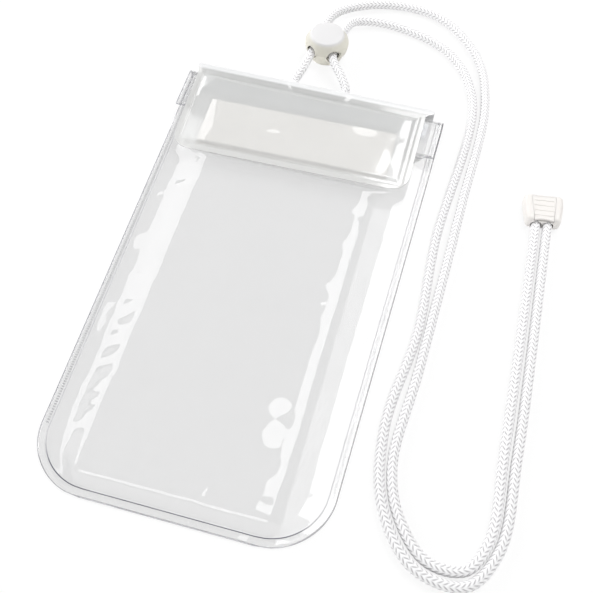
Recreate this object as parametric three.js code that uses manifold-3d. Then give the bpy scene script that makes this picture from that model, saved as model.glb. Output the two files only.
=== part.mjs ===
// Waterproof phone pouch of clear film, with a fold-over mouth, a milky flap and a neck cord.
// The pouch lies on its back: X runs across it, Y from its bottom edge to its flap, Z up. Millimetres.
import * as THREE from 'three';
import Module from 'manifold-3d';
import { mergeVertices } from 'three/addons/utils/BufferGeometryUtils.js';

const manifoldLibrary = await Module();
manifoldLibrary.setup();

// Driving dimensions of the pouch body
const bodyLength = 209.4;          // bottom edge to the outside of the mouth fold
const bodyWidth = 117.4;           // halfway up
const sideFlare = 0.0193;          // each side leaves the centre line by this much per millimetre of Y
const bottomCornerRadius = 24;
const filmThickness = 0.3;
const weldWidth = 3.2;
const weldGap = 0.15;              // the two welded films stay two solids
const foldOuterRadius = 3.1;
const foldedLength = 23.5;         // the mouth end lies this far back from the fold

// Room for a phone
const phoneRoomWidth = 74.6;
const phoneRoomHeight = 8.2;
const phoneRoomEndGap = 5.7;       // from the bottom weld to the full height
const closedHeight = 0.3;          // room left where the mouth is pressed flat
const closingSlope = 7;            // length over which the front film comes down to the loop tape
const shelfMargin = 2.6;           // from the loop tape to that slope
const shutLength = 8;              // length over which it comes down to the shut mouth
const rampLead = 8;                // the back film starts to rise this far before the flap's back
const rampLength = 6;

// Press-to-close zip in the mouth
const zipRoomHeight = 1.6;
const zipBaseThickness = 0.3;
const zipBaseWidth = 9;
const zipTrackSpacing = 4.8;
const zipFromFold = 7.8;           // centre of the zip to the outside of the fold
const zipEndGap = 3.2;             // from the side weld to each end of the zip
const ribStem = 0.5;
const ribHead = 0.9;
const ribHeadHeight = 0.45;
const channelWall = 0.5;
const channelClearance = 0.2;

// Flap
const flapThickness = 0.5;
const flapFrontLength = 48.4;      // from the spine's centre line to the lower edge
const flapBackLength = 25;
const flapLeft = -56.6;
const flapLeftTaper = 2.6;         // the left edge comes in by this much at the lower edge
const flapRight = 52.1;
const spineLeft = -57.2;
const spineRight = 55.4;
const spineOuterRadius = 4.4;
const flapCornerRadius = 8;
const flapBorder = 3.4;
const flapBorderDrop = 0.8;        // the welded border lies lower than the top of the spine
const windowRise = 0.9;
const windowSlope = 2.5;
const flapSkew = 0.024;            // the lower edge runs this much out of square
const seatGap = 0.3;               // between layers that only lie on each other
const touchGap = 0.1;              // between layers that are joined

// Hook and loop tapes
const tapeLength = 86;
const tapeCentreX = -1;
const hookTapeWidth = 25;
const loopTapeWidth = 14;
const tapeThickness = 1.1;
const tapeBaseThickness = 0.5;
const tapeSelvedge = 1.8;
const hookFromSpine = 17.5;        // spine centre line to the upper edge of the hook tape
const loopFromSpine = 29.4;

// Neck cord and its two slots
const cordDiameter = 4.2;
const cordSides = 10;
const stepsPerPoint = 2;
const slotLength = 10;
const slotHeight = 5;
const slotLeft = -10;
const slotRight = 11.3;
const slotCentreHeight = 4.3;

// Cord lock
const lockPlace = { x: -3.3, y: 135.7, turn: -4 };
const lockCordSpacing = 10;
const lockCordHeight = 6.8;
const cordClearance = 0.3;
const holeClearance = 0.6;         // beside a cord in the barrel
const archClearance = 1.5;         // beside a cord in the button's skirt, where the cord may slant
const buttonTravel = 1.2;
const buttonRadius = 10.5;
const buttonTop = 13.8;
const buttonWidestHeight = 8.6;
const skirtBottom = 4.4;
const skirtBottomRadius = 9.9;
const skirtWall = 1.2;
const lugBottom = 7.6;
const crownThickness = 1.9;
const runningGap = 0.3;
const barrelWall = 0.9;
const barrelFloor = 1.5;
const barrelTop = 10.2;
const barrelFootRadius = 8;
const stemFloor = 1;
const springWire = 0.4;
const springTurns = 2.25;
const springBottomRadius = 5.4;
const springTopRadius = 3.2;

// Cord end clip
const clipPlace = { x: 112.1, y: 57.7, turn: 8 };
const clipLength = 14.6;
const clipTopWidth = 16.9;
const clipMouthWidth = 14.4;
const clipColumnWidth = 3.2;
const clipCordSpacing = 5.6;
const clipPocketDepth = 11;
const clipFloor = 0.7;
const coverThickness = 1;
const coverSink = 0.4;             // the ribbed cover lies this far below the columns
const coverRibs = 5;
const ribGroove = 0.35;
const archRise = 0.6;

// Places that follow from the sizes above
const spineCentreY = 103;
const foldCentreY = spineCentreY - 1 - foldOuterRadius;
const bottomY = foldCentreY + foldOuterRadius - bodyLength;
const flapSkinRadius = spineOuterRadius - flapThickness / 2;
const bodyLift = flapThickness + seatGap;
const weldLevel = filmThickness + weldGap / 2;
const foldWeldRadius = foldOuterRadius - filmThickness - weldGap / 2;
const loopTapeTopY = spineCentreY - loopFromSpine;
const shelfStartY = loopTapeTopY - loopTapeWidth - shelfMargin;
const phoneRoomTopY = shelfStartY - closingSlope;
const rampStartY = spineCentreY - flapBackLength - rampLead;
const mouthY = foldCentreY + foldOuterRadius - foldedLength;
const flapWindowTop = 2 * spineOuterRadius - flapBorderDrop + windowRise;
const hookTapeTop = flapWindowTop - flapThickness - touchGap;
const loopTapeTop = hookTapeTop - tapeThickness - seatGap;
const shelfHeight = loopTapeTop - tapeThickness - touchGap - filmThickness - weldLevel - weldGap / 2;

const materials = {
  clearFilm: new THREE.MeshStandardMaterial({ color: 0xe9edf0, roughness: 0.08, transparent: true, opacity: 0.35 }),
  milkyFilm: new THREE.MeshStandardMaterial({ color: 0xe6e5e1, roughness: 0.2, transparent: true, opacity: 0.75 }),
  tape: new THREE.MeshStandardMaterial({ color: 0xf1ebe6, roughness: 0.95 }),
  cord: new THREE.MeshStandardMaterial({ color: 0xf4f3f4, roughness: 0.9 }),
  whitePlastic: new THREE.MeshStandardMaterial({ color: 0xebe9e0, roughness: 0.45 }),
  steel: new THREE.MeshStandardMaterial({ color: 0xb8b8b8, roughness: 0.3, metalness: 1 }),
};

// Small helpers

const smoothStep = (value, from, to) => THREE.MathUtils.smoothstep(value, from, to);

// A film stretched over an end rises steeply from its weld and flattens towards its top.
function crownCurve(share) {
  const u = THREE.MathUtils.clamp(share, 0, 1);
  return 1.5 * u - 0.5 * u ** 3;
}

// How far a rounded corner pulls an edge in, at a distance from the end of the sheet.
function cornerInset(distance, radius) {
  const d = THREE.MathUtils.clamp(distance, 0, radius);
  return radius - Math.sqrt(radius ** 2 - (radius - d) ** 2);
}

// Stations from a list of spans, each with its number of steps.
function stations(start, spans) {
  const values = [start];
  let from = start;
  for (const [to, steps] of spans) {
    for (let i = 1; i <= steps; i++) values.push(from + (to - from) * i / steps);
    from = to;
  }
  return values;
}

function signedVolume(geometry) {
  const position = geometry.getAttribute('position');
  const corner = [new THREE.Vector3(), new THREE.Vector3(), new THREE.Vector3()];
  let volume = 0;
  for (let i = 0; i < geometry.index.count; i += 3) {
    corner.forEach((vector, k) => vector.fromBufferAttribute(position, geometry.index.getX(i + k)));
    volume += corner[0].dot(corner[1].clone().cross(corner[2])) / 6;
  }
  return volume;
}

// A sheet of even thickness over a grid: middle(row, column) is its middle surface.
function sheetGeometry(rows, columns, middle, thickness) {
  const positions = [];
  const indices = [];
  const small = 0.01;
  const slopes = new THREE.Vector3();
  for (const side of [1, -1]) {
    for (const row of rows) {
      for (const column of columns) {
        const along = middle(row + small, column).sub(middle(row - small, column));
        const across = middle(row, column + small / 60).sub(middle(row, column - small / 60));
        slopes.crossVectors(across, along).normalize();
        const point = middle(row, column).addScaledVector(slopes, side * thickness / 2);
        positions.push(point.x, point.y, point.z);
      }
    }
  }
  const perFace = rows.length * columns.length;
  const at = (side, i, j) => side * perFace + i * columns.length + j;
  const quad = (a, b, c, d) => indices.push(a, b, c, a, c, d);
  const lastRow = rows.length - 1;
  const lastColumn = columns.length - 1;
  for (let i = 0; i < lastRow; i++) {
    for (let j = 0; j < lastColumn; j++) {
      quad(at(0, i, j), at(0, i, j + 1), at(0, i + 1, j + 1), at(0, i + 1, j));
      quad(at(1, i, j), at(1, i + 1, j), at(1, i + 1, j + 1), at(1, i, j + 1));
    }
    quad(at(0, i, 0), at(0, i + 1, 0), at(1, i + 1, 0), at(1, i, 0));
    quad(at(0, i, lastColumn), at(1, i, lastColumn), at(1, i + 1, lastColumn), at(0, i + 1, lastColumn));
  }
  for (let j = 0; j < lastColumn; j++) {
    quad(at(0, 0, j), at(1, 0, j), at(1, 0, j + 1), at(0, 0, j + 1));
    quad(at(0, lastRow, j), at(0, lastRow, j + 1), at(1, lastRow, j + 1), at(1, lastRow, j));
  }
  const geometry = new THREE.BufferGeometry();
  geometry.setAttribute('position', new THREE.Float32BufferAttribute(positions, 3));
  geometry.setIndex(indices);
  if (signedVolume(geometry) < 0) geometry.setIndex([...indices].reverse());
  return geometry;
}

function toSolid(geometry) {
  const bare = geometry.clone();
  bare.deleteAttribute('normal');
  bare.deleteAttribute('uv');
  const merged = mergeVertices(bare, 1e-4);
  return new manifoldLibrary.Manifold(new manifoldLibrary.Mesh({
    numProp: 3,
    vertProperties: new Float32Array(merged.getAttribute('position').array),
    triVerts: new Uint32Array(merged.index.array),
  }));
}

function toGeometry(solid) {
  const mesh = solid.getMesh();
  const geometry = new THREE.BufferGeometry();
  geometry.setAttribute('position', new THREE.Float32BufferAttribute(mesh.vertProperties, 3));
  geometry.setIndex([...mesh.triVerts]);
  return geometry;
}

function part(name, geometry, material, parent) {
  const mesh = new THREE.Mesh(geometry, material);
  mesh.name = name;
  parent.add(mesh);
  return mesh;
}

function prism(shape, length, curveSegments = 12) {
  return new THREE.ExtrudeGeometry(shape, { depth: length, bevelEnabled: false, curveSegments });
}

function polygon(points) {
  return new THREE.Shape(points.map(([x, y]) => new THREE.Vector2(x, y)));
}

// A shape drawn with X as Y and Y as Z, extruded along X and centred there.
function alongX(shape, length) {
  const geometry = prism(shape, length);
  geometry.translate(0, 0, -length / 2);
  geometry.applyMatrix4(new THREE.Matrix4().makeBasis(
    new THREE.Vector3(0, 1, 0), new THREE.Vector3(0, 0, 1), new THREE.Vector3(1, 0, 0)));
  return geometry;
}

// A shape drawn with X as X and Y as Z, extruded along Y and centred there.
function alongY(shape, length) {
  const geometry = prism(shape, length);
  geometry.translate(0, 0, -length / 2);
  geometry.rotateX(Math.PI / 2);
  return geometry;
}

// An upright oval: half circles below and above a straight middle.
function uprightOval(x, bottom, top, radius) {
  const shape = new THREE.Shape();
  shape.absarc(x, top - radius, radius, 0, Math.PI, false);
  shape.absarc(x, bottom + radius, radius, Math.PI, 2 * Math.PI, false);
  shape.closePath();
  return shape;
}

function revolve(points, segments = 40) {
  const geometry = new THREE.LatheGeometry(points.map(([r, z]) => new THREE.Vector2(r, z)), segments);
  geometry.rotateX(Math.PI / 2);
  return geometry;
}

// Pouch body: two films that are welded along both sides and the bottom, and folded over at the mouth

const foldStart = foldCentreY - bottomY;
const foldEnd = foldStart + Math.PI * foldWeldRadius;
const mouthEnd = foldEnd + foldCentreY - mouthY;
const foldCentreZ = bodyLift + foldOuterRadius;
const toRow = (y) => y - bottomY;

// The weld runs flat on the table, up onto the back of the flap and round the fold.
function weldPath(row) {
  if (row <= foldStart) {
    const y = bottomY + row;
    const z = weldLevel + bodyLift * smoothStep(y, rampStartY, rampStartY + rampLength);
    return { y, z, normalY: 0, normalZ: 1 };
  }
  if (row >= foldEnd) {
    return { y: foldCentreY - (row - foldEnd), z: foldCentreZ + foldWeldRadius, normalY: 0, normalZ: -1 };
  }
  const angle = (row - foldStart) / foldWeldRadius;
  return {
    y: foldCentreY + foldWeldRadius * Math.sin(angle),
    z: foldCentreZ - foldWeldRadius * Math.cos(angle),
    normalY: -Math.sin(angle),
    normalZ: Math.cos(angle),
  };
}

const sideAt = (y) => bodyWidth / 2 + sideFlare * y;

function filmHalfWidths(row) {
  const side = sideAt(weldPath(row).y);
  const outer = side - cornerInset(row, bottomCornerRadius);
  const innerRow = Math.max(row - weldWidth, 0);
  const inner = side - weldWidth - cornerInset(innerRow, bottomCornerRadius - weldWidth);
  return { outer, inner };
}

const weldColumn = 0.9;            // the column of the grid that follows the weld line

function filmX(row, column) {
  const { outer, inner } = filmHalfWidths(row);
  const size = Math.abs(column);
  const reach = size <= weldColumn
    ? inner * size / weldColumn
    : inner + (outer - inner) * (size - weldColumn) / (1 - weldColumn);
  return Math.sign(column) * reach;
}

// Room between the films: full over the phone, lower under the loop tape, shut at the mouth, open for the zip.
function filmRoom(row, x) {
  const downToShelf = smoothStep(row, toRow(phoneRoomTopY), toRow(shelfStartY));
  const downToShut = smoothStep(row, toRow(loopTapeTopY), toRow(loopTapeTopY) + shutLength);
  const upToZip = smoothStep(row, foldStart, foldEnd);
  const shelf = shelfHeight - Math.min(weldPath(row).z - weldLevel, bodyLift);
  const height = phoneRoomHeight + (shelf - phoneRoomHeight) * downToShelf
    + (closedHeight - shelf) * downToShut + (zipRoomHeight - closedHeight) * upToZip;
  const { inner } = filmHalfWidths(row);
  const flatPhone = phoneRoomWidth / 2;
  const flatShelf = tapeLength / 2 + 2;
  const flatZip = sideAt(foldCentreY) - weldWidth - zipEndGap + 0.3;
  const flat = flatPhone + (flatShelf - flatPhone) * downToShelf + (flatZip - flatShelf) * downToShut;
  const sideShare = smoothStep(inner - Math.abs(x), 0, Math.max(inner - flat, 0.5));
  const endShare = crownCurve((row - weldWidth) / phoneRoomEndGap);
  return height * sideShare * endShare;
}

function filmMiddle(isFront) {
  return (row, column) => {
    const path = weldPath(row);
    const x = filmX(row, column);
    const half = (weldGap + filmThickness) / 2;
    const offset = isFront ? half + filmRoom(row, x) : -half;
    return new THREE.Vector3(x, path.y + path.normalY * offset, path.z + path.normalZ * offset);
  };
}

const foldRows = [[foldStart, 2], [foldEnd, 8], [foldEnd + 3, 1], [mouthEnd, 3]];

function frontFilm() {
  const rows = stations(0, [
    [weldWidth, 1], [weldWidth + phoneRoomEndGap, 5], [bottomCornerRadius, 5], [toRow(phoneRoomTopY), 7],
    [toRow(shelfStartY), 4], [toRow(loopTapeTopY), 2], [toRow(loopTapeTopY) + shutLength, 5], ...foldRows,
  ]);
  const shoulder = weldColumn - 0.04;
  const columns = stations(-1, [
    [-weldColumn, 1], [-shoulder, 1], [-0.6, 5], [0.6, 6], [shoulder, 5], [weldColumn, 1], [1, 1],
  ]);
  return sheetGeometry(rows, columns, filmMiddle(true), filmThickness);
}

function backFilm() {
  const rampRow = toRow(rampStartY);
  const rows = stations(0, [
    [weldWidth, 2], [bottomCornerRadius, 8], [rampRow, 3], [rampRow + rampLength, 4], ...foldRows,
  ]);
  const columns = stations(-1, [[-weldColumn, 1], [0, 2], [weldColumn, 2], [1, 1]]);
  return sheetGeometry(rows, columns, filmMiddle(false), filmThickness);
}

// Zip: two strips in the folded mouth, one with channels on the back film, one with ribs on the front film

const zipCentreY = foldCentreY + foldOuterRadius - zipFromFold;
const backFilmFace = foldCentreZ + foldWeldRadius + weldGap / 2;
const frontFilmFace = foldCentreZ + foldWeldRadius - weldGap / 2 - zipRoomHeight;
const zipLength = 2 * (sideAt(zipCentreY) - weldWidth - zipEndGap);
const zipStripRoom = backFilmFace - frontFilmFace - touchGap;
const trackCentres = [-zipTrackSpacing / 2, zipTrackSpacing / 2];

function zipRibs() {
  const base = frontFilmFace + touchGap / 2;
  const top = base + zipBaseThickness;
  const tip = base + zipStripRoom - zipBaseThickness - touchGap;
  const points = [[-zipBaseWidth / 2, base], [zipBaseWidth / 2, base], [zipBaseWidth / 2, top]];
  for (const centre of [...trackCentres].reverse()) {
    points.push([centre + ribStem / 2, top], [centre + ribStem / 2, tip - ribHeadHeight]);
    points.push([centre + ribHead / 2, tip - ribHeadHeight], [centre + ribStem / 2, tip]);
    points.push([centre - ribStem / 2, tip], [centre - ribHead / 2, tip - ribHeadHeight]);
    points.push([centre - ribStem / 2, tip - ribHeadHeight], [centre - ribStem / 2, top]);
  }
  points.push([-zipBaseWidth / 2, top]);
  return alongX(polygon(points), zipLength).translate(0, zipCentreY, 0);
}

function zipChannels() {
  const base = backFilmFace - touchGap / 2;
  const under = base - zipBaseThickness;
  const edge = frontFilmFace + touchGap / 2 + zipBaseThickness + touchGap;
  const inner = ribHead / 2 + channelClearance;
  const outer = inner + channelWall;
  const points = [[zipBaseWidth / 2, base], [-zipBaseWidth / 2, base], [-zipBaseWidth / 2, under]];
  for (const centre of trackCentres) {
    points.push([centre - outer, under], [centre - outer, edge], [centre - inner, edge], [centre - inner, under]);
    points.push([centre + inner, under], [centre + inner, edge], [centre + outer, edge], [centre + outer, under]);
  }
  points.push([zipBaseWidth / 2, under]);
  return alongX(polygon(points), zipLength).translate(0, zipCentreY, 0);
}

// Flap: one milky sheet, welded flat to the back, rolled into a spine and brought over the front

const flapArcLength = Math.PI * flapSkinRadius;
const flapBackEnd = flapBackLength;
const flapFrontStart = flapBackEnd + flapArcLength;
const flapEnd = flapFrontStart + flapFrontLength;
const spineSlope = 4.5;
const borderColumn = 0.08;

function flapSides(row) {
  const onFront = smoothStep(row, flapFrontStart, flapFrontStart + 2.5);
  const share = THREE.MathUtils.clamp((row - flapFrontStart) / flapFrontLength, 0, 1);
  return {
    left: spineLeft + (flapLeft - spineLeft) * onFront + flapLeftTaper * share,
    right: spineRight + (flapRight - spineRight) * onFront,
  };
}

// Column runs from 0 at the left edge to 1 at the right, with the border's width kept on both sides.
function flapX(row, column) {
  const { left, right } = flapSides(row);
  const fromEnd = Math.min(flapEnd - row, row);
  const radius = flapCornerRadius;
  const outerInset = cornerInset(fromEnd, radius);
  const innerInset = flapBorder + cornerInset(Math.max(fromEnd - flapBorder, 0), radius - flapBorder);
  const outerLeft = left + outerInset;
  const innerLeft = left + innerInset;
  const innerRight = right - innerInset;
  const outerRight = right - outerInset;
  if (column < borderColumn) return outerLeft + (innerLeft - outerLeft) * column / borderColumn;
  if (column > 1 - borderColumn) {
    return outerRight - (outerRight - innerRight) * (1 - column) / borderColumn;
  }
  return innerLeft + (innerRight - innerLeft) * (column - borderColumn) / (1 - 2 * borderColumn);
}

function flapMiddle(row, column) {
  const x = flapX(row, column);
  if (row <= flapBackEnd) {
    return new THREE.Vector3(x, spineCentreY - flapBackLength + row, flapThickness / 2);
  }
  if (row < flapFrontStart) {
    const angle = (row - flapBackEnd) / flapSkinRadius;
    const y = spineCentreY + flapSkinRadius * Math.sin(angle);
    return new THREE.Vector3(x, y, spineOuterRadius - flapSkinRadius * Math.cos(angle));
  }
  const along = row - flapFrontStart;
  const { left, right } = flapSides(row);
  const inside = Math.min(x - left, right - x, flapEnd - row) - flapBorder;
  const fromSpine = along - spineSlope;
  const rise = windowRise * smoothStep(Math.min(inside, fromSpine), 0, windowSlope);
  const drop = flapBorderDrop * smoothStep(along, 0, spineSlope);
  const skew = flapSkew * x * smoothStep(along, 0, flapFrontLength);
  return new THREE.Vector3(x, spineCentreY - along + skew, spineOuterRadius + flapSkinRadius - drop + rise);
}

function flapSheet() {
  const rows = stations(0, [
    [flapCornerRadius, 5], [flapBackEnd, 2], [flapFrontStart, 12], [flapFrontStart + spineSlope, 3],
    [flapFrontStart + spineSlope + windowSlope, 3], [flapEnd - flapCornerRadius, 5],
    [flapEnd - flapBorder - windowSlope, 1], [flapEnd - flapBorder, 3], [flapEnd, 3],
  ]);
  const windowColumn = borderColumn + windowSlope / (flapRight - flapLeft);
  const columns = stations(0, [
    [borderColumn, 2], [windowColumn, 3], [1 - windowColumn, 8], [1 - borderColumn, 3], [1, 2],
  ]);
  const sheet = toSolid(sheetGeometry(rows, columns, flapMiddle, flapThickness));
  const wallY = spineCentreY + spineOuterRadius;
  const slot = (x) => {
    const shape = new THREE.Shape();
    const reach = (slotLength - slotHeight) / 2;
    shape.absarc(x + reach, slotCentreHeight, slotHeight / 2, -Math.PI / 2, Math.PI / 2, false);
    shape.absarc(x - reach, slotCentreHeight, slotHeight / 2, Math.PI / 2, 3 * Math.PI / 2, false);
    shape.closePath();
    return toSolid(alongY(shape, spineOuterRadius).translate(0, wallY, 0));
  };
  return toGeometry(sheet.subtract(slot(slotLeft)).subtract(slot(slotRight)));
}

// Hook and loop tapes: a woven base with plain selvedges and a thicker field of hooks or loops

function tape(width, baseZ, fieldZ) {
  const field = width / 2 - tapeSelvedge;
  const step = baseZ + Math.sign(fieldZ - baseZ) * tapeBaseThickness;
  const points = [
    [-width / 2, baseZ], [width / 2, baseZ], [width / 2, step], [field, step],
    [field, fieldZ], [-field, fieldZ], [-field, step], [-width / 2, step],
  ];
  return alongX(polygon(fieldZ > baseZ ? points : [...points].reverse()), tapeLength);
}

function placeTape(mesh, topY, width) {
  mesh.position.set(tapeCentreX, topY - width / 2, 0);
  mesh.rotation.z = Math.atan(flapSkew);
}

// Neck cord: one braided cord from the clip, up to the lock, through the spine and back beside itself

const cordPoints = [
  [108.6, 66.2, 3.1], [109.4, 50, 2.8], [112, -50, 2.2], [112, -84.5, 2.2], [105.4, -96.8, 2.2],
  [92, -97.2, 2.2], [79.6, -84.5, 2.2], [73.2, -66, 2.2], [74.8, -25, 2.2], [76.8, 60, 2.2],
  [77, 122, 2.2], [67.6, 152.6, 2.2], [45, 174.4, 2.2], [18, 176, 2.4], [-3, 163, 4],
  [-7.6, 147, 6.6], [-8.7, 129, 6.8], [-10.7, 117, 5.2], [-12.1, 109.5, 4.3], [-10.7, 106.2, 4.3],
  [-7.1, 104.8, 4.3], [8.2, 104.8, 4.3], [11.5, 106.5, 4.3], [12.4, 110.2, 4.4], [8.6, 117.2, 5.5],
  [1.6, 127.8, 6.7], [2.4, 146, 6.4], [6, 157.8, 3.8], [24, 162, 2.3], [54, 151.2, 2.2],
  [70.8, 123, 2.2], [69.3, 38, 2.2], [70.9, -8, 2.2], [67.2, -52, 2.2], [72.8, -81.5, 2.2],
  [88, -100.6, 2.2], [106.5, -102.2, 2.2], [115.9, -87, 2.2], [116.9, -50, 2.2], [113.7, 67, 3.1],
];

// Stations follow the points and not the length, so that tight bends get short steps.
class CordRoute extends THREE.CatmullRomCurve3 {
  getPointAt(share, target) {
    return this.getPoint(share, target);
  }

  getTangentAt(share, target) {
    return this.getTangent(share, target);
  }
}

function neckCord() {
  const route = new CordRoute(cordPoints.map((point) => new THREE.Vector3(...point)), false, 'centripetal');
  const section = polygon(Array.from({ length: cordSides }, (_, i) => {
    const angle = 2 * Math.PI * i / cordSides;
    return [cordDiameter / 2 * Math.cos(angle), cordDiameter / 2 * Math.sin(angle)];
  }));
  const steps = stepsPerPoint * (cordPoints.length - 1);
  return new THREE.ExtrudeGeometry(section, { steps, bevelEnabled: false, extrudePath: route });
}

// Cord lock, in its own frame: its foot at Z 0, the cords along Y

const cordTop = lockCordHeight + cordDiameter / 2 + cordClearance;
const cordBottom = lockCordHeight - cordDiameter / 2 - cordClearance;
const cordHoleRadius = cordDiameter / 2 + holeClearance;
const archRadius = cordDiameter / 2 + archClearance;
const skirtInnerRadius = buttonRadius - skirtWall;
const barrelRadius = skirtInnerRadius - runningGap;
const stemRadius = barrelRadius - barrelWall - runningGap;
const stemBottom = cordBottom - stemFloor;
const crownBottom = buttonTop - crownThickness;
const lockCordSides = [-lockCordSpacing / 2, lockCordSpacing / 2];

function cordHoles(bottom, top, radius) {
  const through = 3 * buttonRadius;
  return lockCordSides.map((x) => toSolid(alongY(uprightOval(x, bottom, top, radius), through)));
}

function lockBarrel() {
  const inner = barrelRadius - barrelWall;
  const cup = revolve([
    [0, 0], [barrelFootRadius - 0.6, 0], [barrelFootRadius, 0.6], [barrelRadius, 3.4], [barrelRadius, barrelTop],
    [inner, barrelTop], [inner, barrelFloor], [0, barrelFloor],
  ]);
  const holes = cordHoles(cordBottom - buttonTravel, cordTop, cordHoleRadius);
  return toGeometry(holes.reduce((solid, hole) => solid.subtract(hole), toSolid(cup)));
}

function lockButton() {
  const domeSteps = 9;
  const dome = Array.from({ length: domeSteps }, (_, i) => {
    const angle = Math.PI / 2 * i / domeSteps;
    const radius = buttonRadius * Math.cos(angle) ** 0.75;
    return [radius, buttonWidestHeight + (buttonTop - buttonWidestHeight) * Math.sin(angle)];
  });
  const shell = toSolid(revolve([
    [skirtInnerRadius, skirtBottom], [skirtBottomRadius, skirtBottom], ...dome, [0, buttonTop],
    [0, crownBottom], [skirtInnerRadius, crownBottom], [skirtInnerRadius, skirtBottom],
  ]));
  const archTop = cordTop + buttonTravel;
  const arches = cordHoles(skirtBottom - buttonRadius, archTop, archRadius);
  const lugCut = toSolid(new THREE.BoxGeometry(lockCordSpacing, 3 * buttonRadius, 2 * lugBottom));
  const skirt = [...arches, lugCut].reduce((solid, cutter) => solid.subtract(cutter), shell);
  const stem = toSolid(revolve([[0, stemBottom], [stemRadius, stemBottom], [stemRadius, crownBottom + 0.5],
    [0, crownBottom + 0.5]]));
  const slotWidth = lockCordSpacing + 2 * cordHoleRadius;
  const slotHeightInStem = archTop - cordBottom;
  const slot = toSolid(new THREE.BoxGeometry(slotWidth, 3 * buttonRadius, slotHeightInStem)
    .translate(0, 0, cordBottom + slotHeightInStem / 2));
  return toGeometry(skirt.add(stem.subtract(slot)));
}

function lockSpring() {
  const bottom = barrelFloor + springWire / 2 + touchGap / 2;
  const top = stemBottom - springWire / 2 - touchGap / 2;
  class Cone extends THREE.Curve {
    getPoint(share, target = new THREE.Vector3()) {
      const angle = 2 * Math.PI * springTurns * share;
      const radius = springBottomRadius + (springTopRadius - springBottomRadius) * share;
      return target.set(radius * Math.cos(angle), radius * Math.sin(angle), bottom + (top - bottom) * share);
    }
  }
  const wire = new THREE.Shape();
  wire.absarc(0, 0, springWire / 2, 0, 2 * Math.PI, false);
  return new THREE.ExtrudeGeometry(wire, {
    steps: 36, curveSegments: 3, bevelEnabled: false, extrudePath: new Cone(),
  });
}

// Cord end clip, in its own frame: its mouth at Y 0, its foot at Z 0

function clipOutline(halfMouth, halfTop, start, end, radius) {
  const shape = new THREE.Shape();
  shape.moveTo(-halfMouth + radius, start);
  shape.lineTo(halfMouth - radius, start);
  shape.quadraticCurveTo(halfMouth, start, halfMouth + 0.1, start + radius);
  shape.lineTo(halfTop, end - radius);
  shape.quadraticCurveTo(halfTop, end, halfTop - radius, end);
  shape.lineTo(-halfTop + radius, end);
  shape.quadraticCurveTo(-halfTop, end, -halfTop, end - radius);
  shape.lineTo(-halfMouth - 0.1, start + radius);
  shape.quadraticCurveTo(-halfMouth, start, -halfMouth + radius, start);
  return shape;
}

const clipPocketTop = clipFloor + cordDiameter + 2 * cordClearance;
const clipHeight = clipPocketTop + coverThickness + coverSink;
const clipTaper = (clipTopWidth - clipMouthWidth) / 2 / clipLength;
const coverHalfWidth = clipMouthWidth / 2 - clipColumnWidth;

function clipCase() {
  const bevel = 0.7;
  const outline = clipOutline(clipMouthWidth / 2 - bevel, clipTopWidth / 2 - bevel, bevel, clipLength - bevel, 1.2);
  const block = new THREE.ExtrudeGeometry(outline, {
    depth: clipHeight - 2 * bevel, bevelThickness: bevel, bevelSize: bevel, bevelSegments: 2, curveSegments: 4,
  }).translate(0, 0, bevel);
  const pocketWidth = clipCordSpacing + cordDiameter + 2 * cordClearance;
  const pocket = new THREE.BoxGeometry(pocketWidth, 2 * clipPocketDepth, clipPocketTop + 1 - clipFloor)
    .translate(0, 0, (clipPocketTop + 1 + clipFloor) / 2);
  const halfAtEnd = coverHalfWidth + clipTaper * clipLength + runningGap;
  const windowShape = polygon([
    [-coverHalfWidth - runningGap, -1], [coverHalfWidth + runningGap, -1],
    [halfAtEnd, clipLength - clipColumnWidth / 2], [-halfAtEnd, clipLength - clipColumnWidth / 2],
  ]);
  const windowBottom = clipPocketTop - touchGap;
  const windowCut = prism(windowShape, clipHeight).translate(0, 0, windowBottom);
  return toGeometry(toSolid(block).subtract(toSolid(pocket)).subtract(toSolid(windowCut)));
}

function clipCover() {
  const end = clipLength - clipColumnWidth / 2 - runningGap;
  const halfAtEnd = coverHalfWidth + clipTaper * clipLength;
  const shape = new THREE.Shape();
  shape.moveTo(-coverHalfWidth, 0.4);
  shape.quadraticCurveTo(0, 0.4 + 2 * archRise, coverHalfWidth, 0.4);
  shape.lineTo(halfAtEnd, end);
  shape.lineTo(-halfAtEnd, end);
  shape.closePath();
  let plate = toSolid(prism(shape, coverThickness, 8).translate(0, 0, clipPocketTop));
  const first = 0.4 + archRise + 1.4;
  const pitch = (end - 0.8 - first) / (coverRibs - 1);
  for (let i = 0; i < coverRibs; i++) {
    const groove = alongX(polygon([[-ribGroove, 1], [0, -ribGroove], [ribGroove, 1]].reverse()), 2 * coverHalfWidth)
      .translate(0, first + pitch * i, clipPocketTop + coverThickness);
    plate = plate.subtract(toSolid(groove));
  }
  return toGeometry(plate);
}

function turnedGroup(place) {
  const group = new THREE.Group();
  group.position.set(place.x, place.y, 0);
  group.rotation.z = THREE.MathUtils.degToRad(place.turn);
  return group;
}

// Assembly

const pouch = new THREE.Group();
part('back_film', backFilm(), materials.clearFilm, pouch);
part('front_film', frontFilm(), materials.clearFilm, pouch);
part('zip_channel_strip', zipChannels(), materials.clearFilm, pouch);
part('zip_rib_strip', zipRibs(), materials.clearFilm, pouch);
part('flap', flapSheet(), materials.milkyFilm, pouch);

const hook = part('hook_tape', tape(hookTapeWidth, hookTapeTop, hookTapeTop - tapeThickness), materials.tape, pouch);
placeTape(hook, spineCentreY - hookFromSpine, hookTapeWidth);
const loop = part('loop_tape', tape(loopTapeWidth, loopTapeTop - tapeThickness, loopTapeTop), materials.tape, pouch);
placeTape(loop, loopTapeTopY, loopTapeWidth);

part('neck_cord', neckCord(), materials.cord, pouch);

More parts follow.
